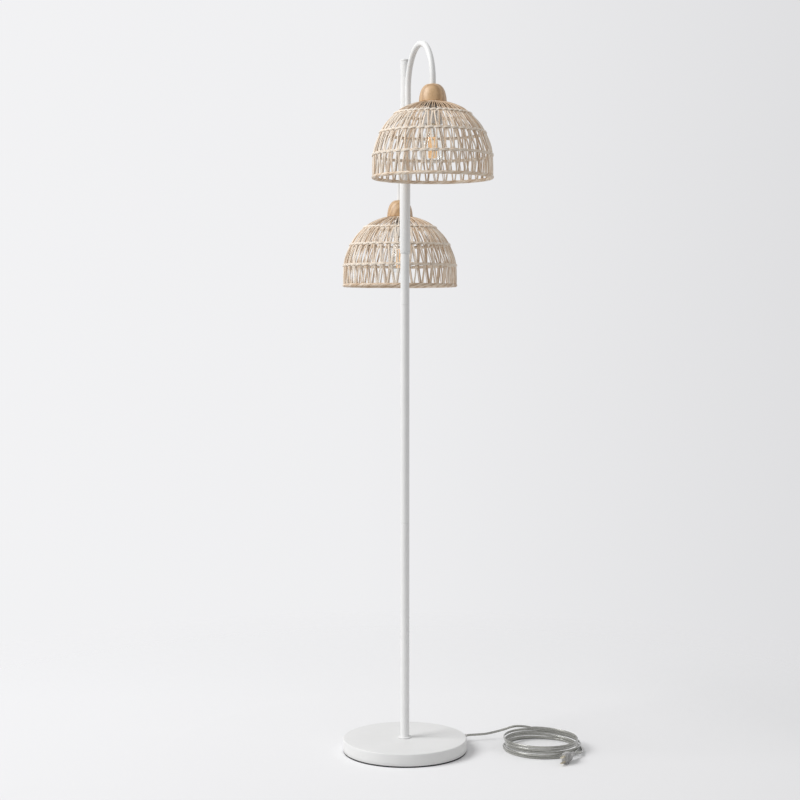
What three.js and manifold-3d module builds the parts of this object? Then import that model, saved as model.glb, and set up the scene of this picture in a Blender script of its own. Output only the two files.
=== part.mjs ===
// Floor lamp with two woven cane shades: a round weighted base, a straight pole, two cane-shaped
// arms that swivel round the pole, and a supply cord that lies in a coil beside the base.
// Millimetres, +Z up, origin at the centre of the base's underside, -Y towards the viewer.

import * as THREE from 'three';
import { mergeVertices } from 'three/addons/utils/BufferGeometryUtils.js';
import Module from 'manifold-3d';

const wasm = await Module();
wasm.setup();

// Fits shared by all pieces
const CLEARANCE = 0.3;
const CUT_OVERRUN = 5;
const MERGE_DISTANCE = 0.0005;
const FINE_SIDES = 40;
const TURNED_SIDES = 20;
const SMALL_SIDES = 12;
const TUBE_SIDES = 10;
const BORE_SIDES = 8;
const EDGE_STEPS = 2;

// Base
const BASE_RADIUS = 140;
const BASE_HEIGHT = 30;
const BASE_WALL = 1.6;
const BASE_EDGE_RADIUS = 2.5;
const PAD_THICKNESS = 2;
const PAD_INSET = 2.5;
const WEIGHT_THICKNESS = 14;
const HUB_RADIUS = 26;
const CHANNEL_WIDTH = 14;
const CHANNEL_HEIGHT = 19;
const RECESS_RADIUS = 15;
const RECESS_HEIGHT = 12;
const BLOCK_LENGTH = 26;
const BLOCK_HEIGHT = 12;
const BLOCK_OFFSET = 64;
const BLOCK_HOLE_RADIUS = 2.2;

// Threaded stem, washer and nut that hold the pole down
const STEM_RADIUS = 5;
const STEM_BORE_RADIUS = 3.4;
const STEM_RISE = 40;
const WASHER_RADIUS = 13;
const WASHER_THICKNESS = 1.5;
const NUT_RADIUS = 9.5;
const NUT_SIDES = 6;
const NUT_HEIGHT = 6;
const STEM_PROJECTION = 1.5;

// Pole
const POLE_RADIUS = 10;
const POLE_WALL = 1.5;
const POLE_TOP = 1553;
const POLE_LOWER_JOINT = 520;
const POLE_UPPER_JOINT = 1010;
const JOINER_LENGTH = 70;
const JOINER_WALL = 1.5;
const FOOT_RING_WIDTH = 2.7;
const FOOT_RING_HEIGHT = 8;
const FOOT_INSERT_HEIGHT = 24;
const POLE_CAP_HEIGHT = 3.5;
const POLE_CAP_LIP = 0.6;
const POLE_CAP_PLUG = 14;

// Swivel sleeves and the rings that carry them
const SLEEVE_WALL = 1.4;
const SWIVEL_RING_HEIGHT = 5;
const SWIVEL_BOTTOM = 1124;
const LOWER_SLEEVE_LENGTH = 151.7;
const UPPER_SLEEVE_LENGTH = 129.4;

// Heads: the wooden cap's underside is each head's datum
const UPPER_HEAD_HEIGHT = 1439.7;
const HEAD_SPACING = 224.4;
const UPPER_HEAD_ANGLE = -67.6;
const LOWER_HEAD_ANGLE = 94.2;
const REACH = 154.3;

// Arm
const ARM_RADIUS = 6.5;
const ARM_WALL = 1.2;
const ARM_POLE_GAP = 0.6;
const ARM_FOOT_DROP = 67.7;
const ARM_FOOT_FLOOR = 4;
const ARM_SPRING_RISE = 44.3;
const ARCH_RISE = 90;
const ARCH_HANDLE_SHARE = 0.5523;
const ARM_STEPS = 22;
const WIRE_HOLE_RADIUS = 2.5;
const WIRE_HOLE_RISE = 14;

// Turned wooden cap
const CAP_RADIUS = 30;
const CAP_HEIGHT = 38;
const CAP_WEB = 8;
const CAP_OUTLINE_SHARES = [
  [1, 0], [0.975, 0.23], [0.91, 0.49], [0.8, 0.72], [0.66, 0.87], [0.5, 0.97], [0.36, 1],
];
const NIPPLE_RISE = 26;
const NIPPLE_DROP = 13;
const NIPPLE_WALL = 1.6;

// Woven shade
const SHADE_RADIUS = 130;
const SHADE_HEIGHT = 161.7;
const SHADE_THICKNESS = 2.4;
const SHADE_TOP_BORE = 22;
const SHADE_COLLAR_RADIUS = 33;
const SHADE_OUTLINE_SHARES = [
  [1, 0], [0.996, 0.17], [0.985, 0.345], [0.94, 0.49],
  [0.852, 0.65], [0.718, 0.78], [0.555, 0.9], [0.37, 0.975],
];
const WEAVE_COUNT = 24;
const STRAND_HALF_SHARE = 0.12;
const COLLAR_HALF_SHARE = 0.25;
const TURN_TICKS = 1000;
const HOOP_BAND = 6;
const FOOT_BAND = 3;
const HOOP_HEIGHTS = [49, 96, 136];
const RIM_HEIGHT = 7;
const RIM_WIDTH = 5.6;
const RIM_SECTION_STEPS = 6;
const PLATE_THICKNESS = 2;
const PLATE_OVERLAP = 6;

// Lamp holder
const HOLDER_NECK_RADIUS = 9;
const HOLDER_NECK_HEIGHT = 6;
const HOLDER_RADIUS = 20;
const HOLDER_SHOULDER = 6;
const HOLDER_LENGTH = 41.7;
const HOLDER_WALL = 5.2;
const HOLDER_ROOF = 13.7;
const CONTACT_THICKNESS = 1.6;
const CONTACT_INSET = 3;
const KNOB_DROP = 30;
const KNOB_SHAFT_RADIUS = 2.5;
const KNOB_RADIUS = 6.5;
const KNOB_LENGTH = 11;
const KNOB_WAIST_SHARE = 0.8;

// Bulb
const BULB_RADIUS = 30;
const BULB_GLASS_LENGTH = 83.4;
const BULB_GLASS_WALL = 1;
const BULB_OUTLINE_SHARES = [
  [0.483, 0], [0.53, 0.15], [0.7, 0.32], [0.92, 0.5], [1, 0.66], [0.92, 0.81], [0.65, 0.93], [0.3, 0.99],
];
const SCREW_CAP_RADIUS = 13.1;
const SCREW_CAP_LENGTH = 26.4;
const SCREW_CAP_CONE = 4;
const SCREW_CAP_TIP_RADIUS = 5;
const GLASS_STEM_LENGTH = 26;
const GLASS_STEM_RADIUS = 5;
const GLASS_STEM_TIP_RADIUS = 2.5;
const FILAMENT_RADIUS = 8;
const FILAMENT_LENGTH = 44;
const FILAMENT_ROD_RADIUS = 1;
const FILAMENT_ROD_COUNT = 4;
const FILAMENT_DISC_THICKNESS = 1.4;
const FILAMENT_ROD_SIDES = 5;

// Supply cord, its grommet and its plug
const CORD_RADIUS = 2.7;
const CORD_EXIT_ANGLE = 28;
const CORD_EXIT_HEIGHT = 14;
const CORD_SIDES = 8;
const GROMMET_WALL = 1.4;
const GROMMET_FLANGE_RADIUS = 6.4;
const GROMMET_FLANGE = 2;
const GROMMET_RELIEF_LENGTH = 20;
const COIL_CENTRE = [311.4, 10.8];
const COIL_RADIUS = 84;
const COIL_START_RADIUS = 75;
const COIL_SPREAD_TURNS = 0.45;
const COIL_START_ANGLE = 95;
const COIL_FULL_TURNS = 5;
const COIL_LAST_SPREAD = 6.6;
const COIL_LAST_SPREAD_START = 0.6;
const COIL_LAST_SPREAD_END = 0.37;
const COIL_PITCH = 5.9;
const COIL_FLOOR_GAP = 0.15;
const COIL_WANDER = 0.8;
const COIL_WANDER_SHARE = 0.83;
const COIL_CLIMB_START = 150;
const COIL_CLIMB_END = 30;
const COIL_STEPS_PER_TURN = 24;
const COIL_SIDES = 6;
const COIL_SAMPLES_PER_TURN = 96;
const LEAD_POINTS = [
  [187, 90, 13.8], [208, 94, 17], [232, 93, 24],
  [251, 88, 31.5], [270, 84.6, 33.4], [287, 84, 31.5],
];
const TAIL_POINTS = [
  [401.6, -12, 3], [399.5, -29, 4.6], [394, -44, 7.8], [386, -55.8, 11.2],
];
const LEAD_STEPS = 17;
const TAIL_STEPS = 12;
const PLUG_POSITION = [376.6, -67.7];
const PLUG_ANGLE = 240;
const PLUG_WIDTH = 25;
const PLUG_THICKNESS = 14;
const PLUG_LENGTH = 33;
const PLUG_EDGE = 2;
const PLUG_FLOOR_GAP = 0.2;
const PLUG_OUTLINE_SHARES = [
  [0, 0.2], [0.1, 0.32], [0.34, 0.4], [0.42, 0.46], [0.52, 0.5], [0.94, 0.5], [1, 0.44],
];
const RELIEF_LENGTH = 20;
const RELIEF_RADIUS = 4.8;
const RELIEF_RIB = 0.7;
const RELIEF_RIB_COUNT = 4;
const PIN_WIDTH = 6.3;
const PIN_THICKNESS = 1.5;
const PIN_LENGTH = 17.5;
const PIN_SPACING = 12.7;
const PIN_SEAT = 3;
const PIN_CORNER = 1.4;
const PIN_HOLE_RADIUS = 1.6;
const PIN_HOLE_INSET = 5;

// Finishes
const FINISHES = {
  whiteEnamel: { color: 0xf0f0ee, roughness: 0.45, metalness: 0 },
  castIron: { color: 0x55565a, roughness: 0.8, metalness: 0.6 },
  blackFoam: { color: 0x1d1d1f, roughness: 0.9, metalness: 0 },
  zincSteel: { color: 0xb8bbbe, roughness: 0.35, metalness: 0.9 },
  brass: { color: 0xc9a45a, roughness: 0.35, metalness: 0.9 },
  oiledOak: { color: 0xd6b184, roughness: 0.55, metalness: 0 },
  rattan: { color: 0xd9bf9c, roughness: 0.7, metalness: 0 },
  whitePlastic: { color: 0xe9e8e4, roughness: 0.4, metalness: 0 },
  clearGlass: { color: 0xf6f4ee, roughness: 0.05, metalness: 0, transparent: true, opacity: 0.35 },
  amberGlow: { color: 0xf0a648, roughness: 0.3, metalness: 0 },
  clearVinyl: { color: 0xb4b3ad, roughness: 0.3, metalness: 0.2 },
};

const HALF_TURN = Math.PI;
const FULL_TURN = Math.PI * 2;

// Solids and booleans

function toSolid(geometry) {
  const bare = new THREE.BufferGeometry();
  bare.setAttribute('position', geometry.getAttribute('position'));
  bare.setIndex(geometry.index);
  const merged = mergeVertices(bare, MERGE_DISTANCE);
  const corners = merged.index.array;
  const triangles = [];
  for (let i = 0; i < corners.length; i += 3) {
    const [a, b, c] = corners.slice(i, i + 3);
    if (a !== b && b !== c && c !== a) triangles.push(a, b, c);
  }
  return new wasm.Manifold(new wasm.Mesh({
    numProp: 3,
    vertProperties: merged.getAttribute('position').array,
    triVerts: Uint32Array.from(triangles),
  }));
}

function toGeometry(solid) {
  const mesh = solid.getMesh();
  const geometry = new THREE.BufferGeometry();
  geometry.setAttribute('position', new THREE.BufferAttribute(Float32Array.from(mesh.vertProperties), 3));
  geometry.setIndex(new THREE.BufferAttribute(Uint32Array.from(mesh.triVerts), 1));
  geometry.computeVertexNormals();
  return geometry;
}

// A profile of [radius, height] points turned about Z; a closed profile gives a ring
function turned(profile, sides) {
  const points = profile.map(([radius, height]) => new THREE.Vector2(radius, height));
  const geometry = new THREE.LatheGeometry(points, sides);
  geometry.rotateX(HALF_TURN / 2);
  return geometry;
}

function ring(innerRadius, outerRadius, bottom, top, sides) {
  return turned([
    [innerRadius, bottom],
    [outerRadius, bottom],
    [outerRadius, top],
    [innerRadius, top],
    [innerRadius, bottom],
  ], sides);
}

function disc(radius, bottom, top, sides) {
  return turned([[0, bottom], [radius, bottom], [radius, top], [0, top]], sides);
}

// Radius of a polygon's corners when its flats must clear a given radius
function aroundRadius(radius, sides) {
  return radius / Math.cos(HALF_TURN / sides);
}

function polygon(radius, sides) {
  const corners = [];
  for (let i = 0; i < sides; i += 1) {
    const angle = (i / sides) * FULL_TURN;
    corners.push(new THREE.Vector2(radius * Math.cos(angle), radius * Math.sin(angle)));
  }
  return new THREE.Shape(corners);
}

function tube(path, radius, sides, steps) {
  return new THREE.ExtrudeGeometry(polygon(radius, sides), { steps, extrudePath: path, bevelEnabled: false });
}

// A turned piece laid along +X, starting at the given distance from Z and at the given height
function laidAlongX(geometry, start, height) {
  geometry.rotateY(HALF_TURN / 2);
  geometry.translate(start, 0, height);
  return geometry;
}

function box(length, width, height, x, y, z) {
  const geometry = new THREE.BoxGeometry(length, width, height);
  geometry.translate(x, y, z);
  return geometry;
}

function toRadians(degrees) {
  return THREE.MathUtils.degToRad(degrees);
}

function addPiece(parent, name, geometry, finish) {
  const mesh = new THREE.Mesh(geometry, new THREE.MeshStandardMaterial(FINISHES[finish]));
  mesh.name = name;
  parent.add(mesh);
  return mesh;
}

// Base: heights that the pieces share
const padTop = PAD_THICKNESS;
const coverBottom = padTop + CLEARANCE;
const weightTop = BASE_HEIGHT - BASE_WALL - CLEARANCE;
const stemHoleRadius = STEM_RADIUS + CLEARANCE;
const recessTop = coverBottom + RECESS_HEIGHT;
const washerTop = recessTop - CLEARANCE;
const nutTop = washerTop - WASHER_THICKNESS - CLEARANCE;
const stemBottom = nutTop - NUT_HEIGHT - STEM_PROJECTION;
const poleBottom = BASE_HEIGHT + CLEARANCE;
const grommetBore = CORD_RADIUS + CLEARANCE;
const grommetRadius = grommetBore + GROMMET_WALL;
const grommetFace = BASE_RADIUS + GROMMET_FLANGE + CLEARANCE;
const cordExitRadius = grommetFace + GROMMET_RELIEF_LENGTH;
const coverInnerRadius = BASE_RADIUS - BASE_WALL;
const coverInnerFlat = coverInnerRadius * Math.cos(HALF_TURN / FINE_SIDES);

function baseCover() {
  const edge = [];
  for (let i = 0; i <= EDGE_STEPS; i += 1) {
    const angle = (i / EDGE_STEPS) * (HALF_TURN / 2);
    edge.push([
      BASE_RADIUS - BASE_EDGE_RADIUS * (1 - Math.cos(angle)),
      BASE_HEIGHT - BASE_EDGE_RADIUS * (1 - Math.sin(angle)),
    ]);
  }
  const shell = toSolid(turned([
    [stemHoleRadius, BASE_HEIGHT - BASE_WALL],
    [coverInnerRadius, BASE_HEIGHT - BASE_WALL],
    [coverInnerRadius, coverBottom],
    [BASE_RADIUS, coverBottom],
    ...edge,
    [stemHoleRadius, BASE_HEIGHT],
    [stemHoleRadius, BASE_HEIGHT - BASE_WALL],
  ], FINE_SIDES));
  const holeRadius = aroundRadius(grommetRadius + CLEARANCE, SMALL_SIDES);
  const hole = laidAlongX(
    disc(holeRadius, 0, BASE_WALL + 2 * CUT_OVERRUN, SMALL_SIDES),
    coverInnerRadius - CUT_OVERRUN,
    CORD_EXIT_HEIGHT,
  );
  hole.rotateZ(toRadians(CORD_EXIT_ANGLE));
  return toGeometry(shell.subtract(toSolid(hole)));
}

function baseWeight() {
  const outerRadius = coverInnerRadius - CLEARANCE;
  const body = toSolid(turned([
    [stemHoleRadius, recessTop],
    [RECESS_RADIUS, recessTop],
    [RECESS_RADIUS, coverBottom],
    [outerRadius, coverBottom],
    [outerRadius, coverBottom + WEIGHT_THICKNESS],
    [HUB_RADIUS, coverBottom + WEIGHT_THICKNESS],
    [HUB_RADIUS, weightTop],
    [stemHoleRadius, weightTop],
    [stemHoleRadius, recessTop],
  ], FINE_SIDES));
  const length = BASE_RADIUS + CUT_OVERRUN;
  const channel = box(
    length, CHANNEL_WIDTH, CHANNEL_HEIGHT + CUT_OVERRUN,
    length / 2, 0, coverBottom + (CHANNEL_HEIGHT - CUT_OVERRUN) / 2,
  );
  channel.rotateZ(toRadians(CORD_EXIT_ANGLE));
  const stemWall = disc(RECESS_RADIUS, recessTop, weightTop + CUT_OVERRUN, FINE_SIDES);
  const cut = toSolid(channel).subtract(toSolid(stemWall));
  return toGeometry(body.subtract(cut));
}

function terminalBlock() {
  const width = CHANNEL_WIDTH - 2 * CLEARANCE;
  const middle = BLOCK_OFFSET + BLOCK_LENGTH / 2;
  let block = toSolid(box(BLOCK_LENGTH, width, BLOCK_HEIGHT, middle, 0, coverBottom + BLOCK_HEIGHT / 2));
  for (const side of [-1, 1]) {
    const hole = laidAlongX(
      disc(BLOCK_HOLE_RADIUS, 0, BLOCK_LENGTH + 2 * CUT_OVERRUN, SMALL_SIDES / 2),
      BLOCK_OFFSET - CUT_OVERRUN,
      coverBottom + BLOCK_HEIGHT / 2,
    );
    hole.translate(0, side * width / 4, 0);
    block = block.subtract(toSolid(hole));
  }
  return toGeometry(block);
}

function nut() {
  const blank = toSolid(disc(NUT_RADIUS, nutTop - NUT_HEIGHT, nutTop, NUT_SIDES));
  const bore = disc(stemHoleRadius, nutTop - NUT_HEIGHT - CUT_OVERRUN, nutTop + CUT_OVERRUN, SMALL_SIDES);
  return toGeometry(blank.subtract(toSolid(bore)));
}

// Two flanges clip into the side wall, and a tapered sleeve relieves the cord
function grommet() {
  const innerFace = coverInnerFlat - GROMMET_FLANGE - CLEARANCE;
  const length = grommetFace - innerFace;
  const tip = cordExitRadius - innerFace;
  const geometry = turned([
    [grommetBore, 0],
    [GROMMET_FLANGE_RADIUS, 0],
    [GROMMET_FLANGE_RADIUS, GROMMET_FLANGE],
    [grommetRadius, GROMMET_FLANGE],
    [grommetRadius, length - GROMMET_FLANGE],
    [GROMMET_FLANGE_RADIUS, length - GROMMET_FLANGE],
    [GROMMET_FLANGE_RADIUS - GROMMET_FLANGE / 2, length],
    [grommetRadius, length],
    [grommetBore + GROMMET_WALL / 2, tip],
    [grommetBore, tip],
    [grommetBore, 0],
  ], SMALL_SIDES);
  return laidAlongX(geometry, innerFace, CORD_EXIT_HEIGHT);
}

function addBase(lamp) {
  addPiece(lamp, 'base_pad', disc(BASE_RADIUS - PAD_INSET, 0, padTop, FINE_SIDES), 'blackFoam');
  addPiece(lamp, 'base_cover', baseCover(), 'whiteEnamel');
  addPiece(lamp, 'base_weight', baseWeight(), 'castIron');
  const washer = ring(stemHoleRadius, WASHER_RADIUS, washerTop - WASHER_THICKNESS, washerTop, SMALL_SIDES);
  addPiece(lamp, 'base_washer', washer, 'zincSteel');
  addPiece(lamp, 'base_nut', nut(), 'zincSteel');
  const stem = ring(STEM_BORE_RADIUS, STEM_RADIUS, stemBottom, BASE_HEIGHT + STEM_RISE, SMALL_SIDES);
  addPiece(lamp, 'base_stem', stem, 'zincSteel');
  const exit = new THREE.Group();
  exit.rotation.z = toRadians(CORD_EXIT_ANGLE);
  lamp.add(exit);
  addPiece(exit, 'terminal_block', terminalBlock(), 'whitePlastic');
  addPiece(exit, 'cord_grommet', grommet(), 'whitePlastic');
}

// Pole: radii that the joiners, the foot and the cap share
const poleBore = POLE_RADIUS - POLE_WALL;
const spigotRadius = poleBore - CLEARANCE;
const collarBore = POLE_RADIUS + CLEARANCE;
const sleeveRadius = collarBore + SLEEVE_WALL;
const poleCapSeat = POLE_TOP - POLE_CAP_HEIGHT;
const poleTubeTop = poleCapSeat - CLEARANCE;

function footRing() {
  const bottom = BASE_HEIGHT + CLEARANCE;
  const top = bottom + FOOT_RING_HEIGHT;
  const outer = collarBore + FOOT_RING_WIDTH;
  return turned([
    [collarBore, bottom],
    [outer, bottom],
    [outer, top - FOOT_RING_WIDTH],
    [outer - FOOT_RING_WIDTH / 3, top - FOOT_RING_WIDTH / 3],
    [outer - FOOT_RING_WIDTH * 2 / 3, top],
    [collarBore, top],
    [collarBore, bottom],
  ], TURNED_SIDES);
}

function poleCap() {
  const lipRadius = POLE_RADIUS + POLE_CAP_LIP;
  return turned([
    [0, poleCapSeat - POLE_CAP_PLUG],
    [spigotRadius, poleCapSeat - POLE_CAP_PLUG],
    [spigotRadius, poleCapSeat],
    [lipRadius, poleCapSeat],
    [lipRadius, POLE_TOP - POLE_CAP_HEIGHT / 2],
    [lipRadius - POLE_CAP_HEIGHT / 4, POLE_TOP - POLE_CAP_HEIGHT / 6],
    [lipRadius - POLE_CAP_HEIGHT / 2, POLE_TOP],
    [0, POLE_TOP],
  ], TURNED_SIDES);
}

function addPole(lamp) {
  const joints = [poleBottom, POLE_LOWER_JOINT, POLE_UPPER_JOINT, poleTubeTop + CLEARANCE];
  const tubeNames = ['pole_lower', 'pole_middle', 'pole_upper'];
  tubeNames.forEach((name, i) => {
    const section = ring(poleBore, POLE_RADIUS, joints[i], joints[i + 1] - CLEARANCE, TURNED_SIDES);
    addPiece(lamp, name, section, 'whiteEnamel');
  });
  const joinerNames = ['joiner_lower', 'joiner_upper'];
  joinerNames.forEach((name, i) => {
    const middle = joints[i + 1];
    const joiner = ring(
      spigotRadius - JOINER_WALL, spigotRadius,
      middle - JOINER_LENGTH / 2, middle + JOINER_LENGTH / 2,
      SMALL_SIDES,
    );
    addPiece(lamp, name, joiner, 'zincSteel');
  });
  const insert = ring(stemHoleRadius, spigotRadius, poleBottom, poleBottom + FOOT_INSERT_HEIGHT, SMALL_SIDES);
  addPiece(lamp, 'pole_foot_insert', insert, 'zincSteel');
  addPiece(lamp, 'pole_foot_ring', footRing(), 'whiteEnamel');
  addPiece(lamp, 'pole_cap', poleCap(), 'whiteEnamel');
}

// Swivel rings and sleeves stack up the pole from one height
const lowerSleeveBottom = SWIVEL_BOTTOM + SWIVEL_RING_HEIGHT + CLEARANCE;
const lowerSleeveTop = lowerSleeveBottom + LOWER_SLEEVE_LENGTH;
const upperRingBottom = lowerSleeveTop + CLEARANCE;
const upperSleeveBottom = upperRingBottom + SWIVEL_RING_HEIGHT + CLEARANCE;
const upperSleeveTop = upperSleeveBottom + UPPER_SLEEVE_LENGTH;

function addSwivelRings(lamp) {
  const bottoms = { swivel_ring_lower: SWIVEL_BOTTOM, swivel_ring_upper: upperRingBottom };
  for (const [name, bottom] of Object.entries(bottoms)) {
    const collar = ring(collarBore, sleeveRadius, bottom, bottom + SWIVEL_RING_HEIGHT, TURNED_SIDES);
    addPiece(lamp, name, collar, 'whiteEnamel');
  }
}

// Arm: leg beside the pole, tall half-round arch, then straight down into the cap
const legReach = POLE_RADIUS + ARM_POLE_GAP + ARM_RADIUS;
const armTip = CAP_WEB + CLEARANCE;
const nippleRadius = ARM_RADIUS - ARM_WALL - CLEARANCE;
const nippleHole = nippleRadius + CLEARANCE;

function armPath(footHeight, tipHeight) {
  const middle = (legReach + REACH) / 2;
  const crown = ARM_SPRING_RISE + ARCH_RISE;
  const handleIn = (REACH - legReach) / 2 * ARCH_HANDLE_SHARE;
  const handleUp = ARCH_RISE * ARCH_HANDLE_SHARE;
  const at = (reach, height) => new THREE.Vector3(reach, 0, height);
  const path = new THREE.CurvePath();
  path.add(new THREE.LineCurve3(at(legReach, footHeight), at(legReach, ARM_SPRING_RISE)));
  path.add(new THREE.CubicBezierCurve3(
    at(legReach, ARM_SPRING_RISE),
    at(legReach, ARM_SPRING_RISE + handleUp),
    at(middle - handleIn, crown),
    at(middle, crown),
  ));
  path.add(new THREE.CubicBezierCurve3(
    at(middle, crown),
    at(middle + handleIn, crown),
    at(REACH, ARM_SPRING_RISE + handleUp),
    at(REACH, ARM_SPRING_RISE),
  ));
  path.add(new THREE.LineCurve3(at(REACH, ARM_SPRING_RISE), at(REACH, tipHeight)));
  return path;
}

// The welded sleeve and arm are one piece; sleeve heights are measured from the head's datum
function armWithSleeve(sleeveBottom, sleeveTop) {
  const boreRadius = aroundRadius(ARM_RADIUS - ARM_WALL, BORE_SIDES);
  const outside = toSolid(tube(armPath(-ARM_FOOT_DROP, armTip), ARM_RADIUS, TUBE_SIDES, ARM_STEPS));
  const floor = -ARM_FOOT_DROP + ARM_FOOT_FLOOR;
  const inside = toSolid(tube(armPath(floor, armTip - CUT_OVERRUN), boreRadius, BORE_SIDES, ARM_STEPS));
  const sleeve = toSolid(disc(sleeveRadius, sleeveBottom, sleeveTop, TURNED_SIDES));
  const poleHole = toSolid(disc(
    collarBore,
    sleeveBottom - CUT_OVERRUN,
    sleeveTop + CUT_OVERRUN,
    TURNED_SIDES,
  ));
  const wireHole = toSolid(laidAlongX(
    disc(WIRE_HOLE_RADIUS, 0, legReach - POLE_RADIUS / 2, SMALL_SIDES / 2),
    POLE_RADIUS / 2,
    -ARM_FOOT_DROP + WIRE_HOLE_RISE,
  ));
  return toGeometry(outside.add(sleeve).subtract(poleHole).subtract(inside).subtract(wireHole));
}

function woodCap() {
  const armHole = aroundRadius(ARM_RADIUS + CLEARANCE, TURNED_SIDES);
  return turned([
    [nippleHole, 0],
    ...CAP_OUTLINE_SHARES.map(([across, up]) => [across * CAP_RADIUS, up * CAP_HEIGHT]),
    [armHole, CAP_HEIGHT],
    [armHole, CAP_WEB],
    [nippleHole, CAP_WEB],
    [nippleHole, 0],
  ], TURNED_SIDES);
}

// Shade outline: the middle of the woven wall, measured up from the rim's underside
const collarMiddle = SHADE_HEIGHT - CLEARANCE - SHADE_THICKNESS / 2;

function shadeOutline() {
  const points = SHADE_OUTLINE_SHARES.map(([across, up]) => (
    new THREE.Vector2(across * SHADE_RADIUS, up * collarMiddle)
  ));
  points.push(new THREE.Vector2(SHADE_COLLAR_RADIUS, collarMiddle));
  return new THREE.SplineCurve(points);
}

// Outline parameter at a height, found by halving
function parameterAt(outline, height) {
  let low = 0;
  let high = 1;
  while (high - low > MERGE_DISTANCE / SHADE_HEIGHT) {
    const middle = (low + high) / 2;
    if (outline.getPoint(middle).y < height) low = middle;
    else high = middle;
  }
  return (low + high) / 2;
}

// One level of the weave: where it lies on the outline, and the half width of its strand feet
function weaveLevels(outline) {
  const stations = [RIM_HEIGHT + CLEARANCE, RIM_HEIGHT + CLEARANCE + FOOT_BAND];
  for (const height of HOOP_HEIGHTS) stations.push(height - HOOP_BAND / 2, height + HOOP_BAND / 2);
  const levels = stations.map((height) => {
    const t = parameterAt(outline, height);
    const tangent = outline.getTangent(t);
    return {
      middle: outline.getPoint(t),
      normal: new THREE.Vector2(tangent.y, -tangent.x),
      halfShare: STRAND_HALF_SHARE,
    };
  });
  for (const radius of [SHADE_COLLAR_RADIUS, SHADE_TOP_BORE]) {
    levels.push({
      middle: new THREE.Vector2(radius, collarMiddle),
      normal: new THREE.Vector2(0, 1),
      halfShare: COLLAR_HALF_SHARE,
    });
  }
  return levels;
}

// A point between two levels, at a share of the way up
function betweenLevels(low, high, share) {
  return {
    middle: low.middle.clone().lerp(high.middle, share),
    normal: low.normal.clone().lerp(high.normal, share).normalize(),
  };
}

// Gives each face corner an index, and builds the wall's outer, inner and edge triangles
class WovenWall {
  constructor() {
    this.corners = new Map();
    this.points = [];
    this.faces = [];
  }

  corner(station, turn, key) {
    const ticks = Math.round(turn * TURN_TICKS);
    const name = `${key}:${THREE.MathUtils.euclideanModulo(ticks, WEAVE_COUNT * TURN_TICKS)}`;
    if (!this.corners.has(name)) {
      this.corners.set(name, this.points.length);
      this.points.push([station, (turn / WEAVE_COUNT) * FULL_TURN]);
    }
    return this.corners.get(name);
  }

  face(...corners) {
    this.faces.push(corners);
  }

  skin(offset) {
    return this.points.map(([{ middle, normal }, angle]) => {
      const radius = middle.x + normal.x * offset;
      return [radius * Math.cos(angle), radius * Math.sin(angle), middle.y + normal.y * offset];
    });
  }

  geometry(thickness) {
    const count = this.points.length;
    const positions = [...this.skin(thickness / 2), ...this.skin(-thickness / 2)].flat();
    const triangles = [];
    const edges = new Map();
    for (const face of this.faces) {
      for (let i = 1; i < face.length - 1; i += 1) {
        triangles.push(face[0], face[i], face[i + 1]);
        triangles.push(face[0] + count, face[i + 1] + count, face[i] + count);
      }
      face.forEach((a, i) => {
        const b = face[(i + 1) % face.length];
        edges.set(`${a}-${b}`, [a, b]);
      });
    }
    for (const [a, b] of edges.values()) {
      if (edges.has(`${b}-${a}`)) continue;
      triangles.push(a, a + count, b + count);
      triangles.push(a, b + count, b);
    }
    const geometry = new THREE.BufferGeometry();
    geometry.setAttribute('position', new THREE.Float32BufferAttribute(positions, 3));
    geometry.setIndex(triangles);
    return geometry;
  }
}

// Two corners of a strand's foot on a level, centred on a turn of the weave
function footCorners(wall, levels, level, turn) {
  const { halfShare } = levels[level];
  return [-1, 1].map((side) => wall.corner(levels[level], turn + side * halfShare, level));
}

// A hoop: the solid band that runs round between two levels
function addHoop(wall, levels, low, phase) {
  for (let i = 0; i < WEAVE_COUNT; i += 1) {
    const turn = i + phase;
    const [a, b] = footCorners(wall, levels, low, turn);
    const [d, c] = footCorners(wall, levels, low + 1, turn);
    const [e] = footCorners(wall, levels, low, turn + 1);
    const [f] = footCorners(wall, levels, low + 1, turn + 1);
    wall.face(a, b, c, d);
    wall.face(b, e, f, c);
  }
}

// A row of slanted strands that meet in a V on the hoop below and in a peak on the hoop above
function addSlantedRow(wall, levels, low, phase) {
  const notchShare = 2 * STRAND_HALF_SHARE;
  const notchStation = betweenLevels(levels[low], levels[low + 1], notchShare);
  const peakStation = betweenLevels(levels[low], levels[low + 1], 1 - notchShare);
  for (let i = 0; i < WEAVE_COUNT; i += 1) {
    const turn = i + phase;
    const [footLeft, footRight] = footCorners(wall, levels, low, turn);
    const [nextLeft] = footCorners(wall, levels, low, turn + 1);
    const [peakLeft, peakRight] = footCorners(wall, levels, low + 1, turn + 0.5);
    const notch = wall.corner(notchStation, turn, `notch${low}`);
    const nextNotch = wall.corner(notchStation, turn + 1, `notch${low}`);
    const peak = wall.corner(peakStation, turn + 0.5, `peak${low}`);
    wall.face(footLeft, footRight, notch);
    wall.face(footRight, peak, peakLeft, notch);
    wall.face(nextLeft, nextNotch, peakRight, peak);
    wall.face(peak, peakRight, peakLeft);
  }
}

// The top row: straight spokes that run in under the wooden cap
function addSpokes(wall, levels, low, phase) {
  for (let i = 0; i < WEAVE_COUNT; i += 1) {
    const [a, b] = footCorners(wall, levels, low, i + phase);
    const [d, c] = footCorners(wall, levels, low + 1, i + phase);
    wall.face(a, b, c, d);
  }
}

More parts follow.
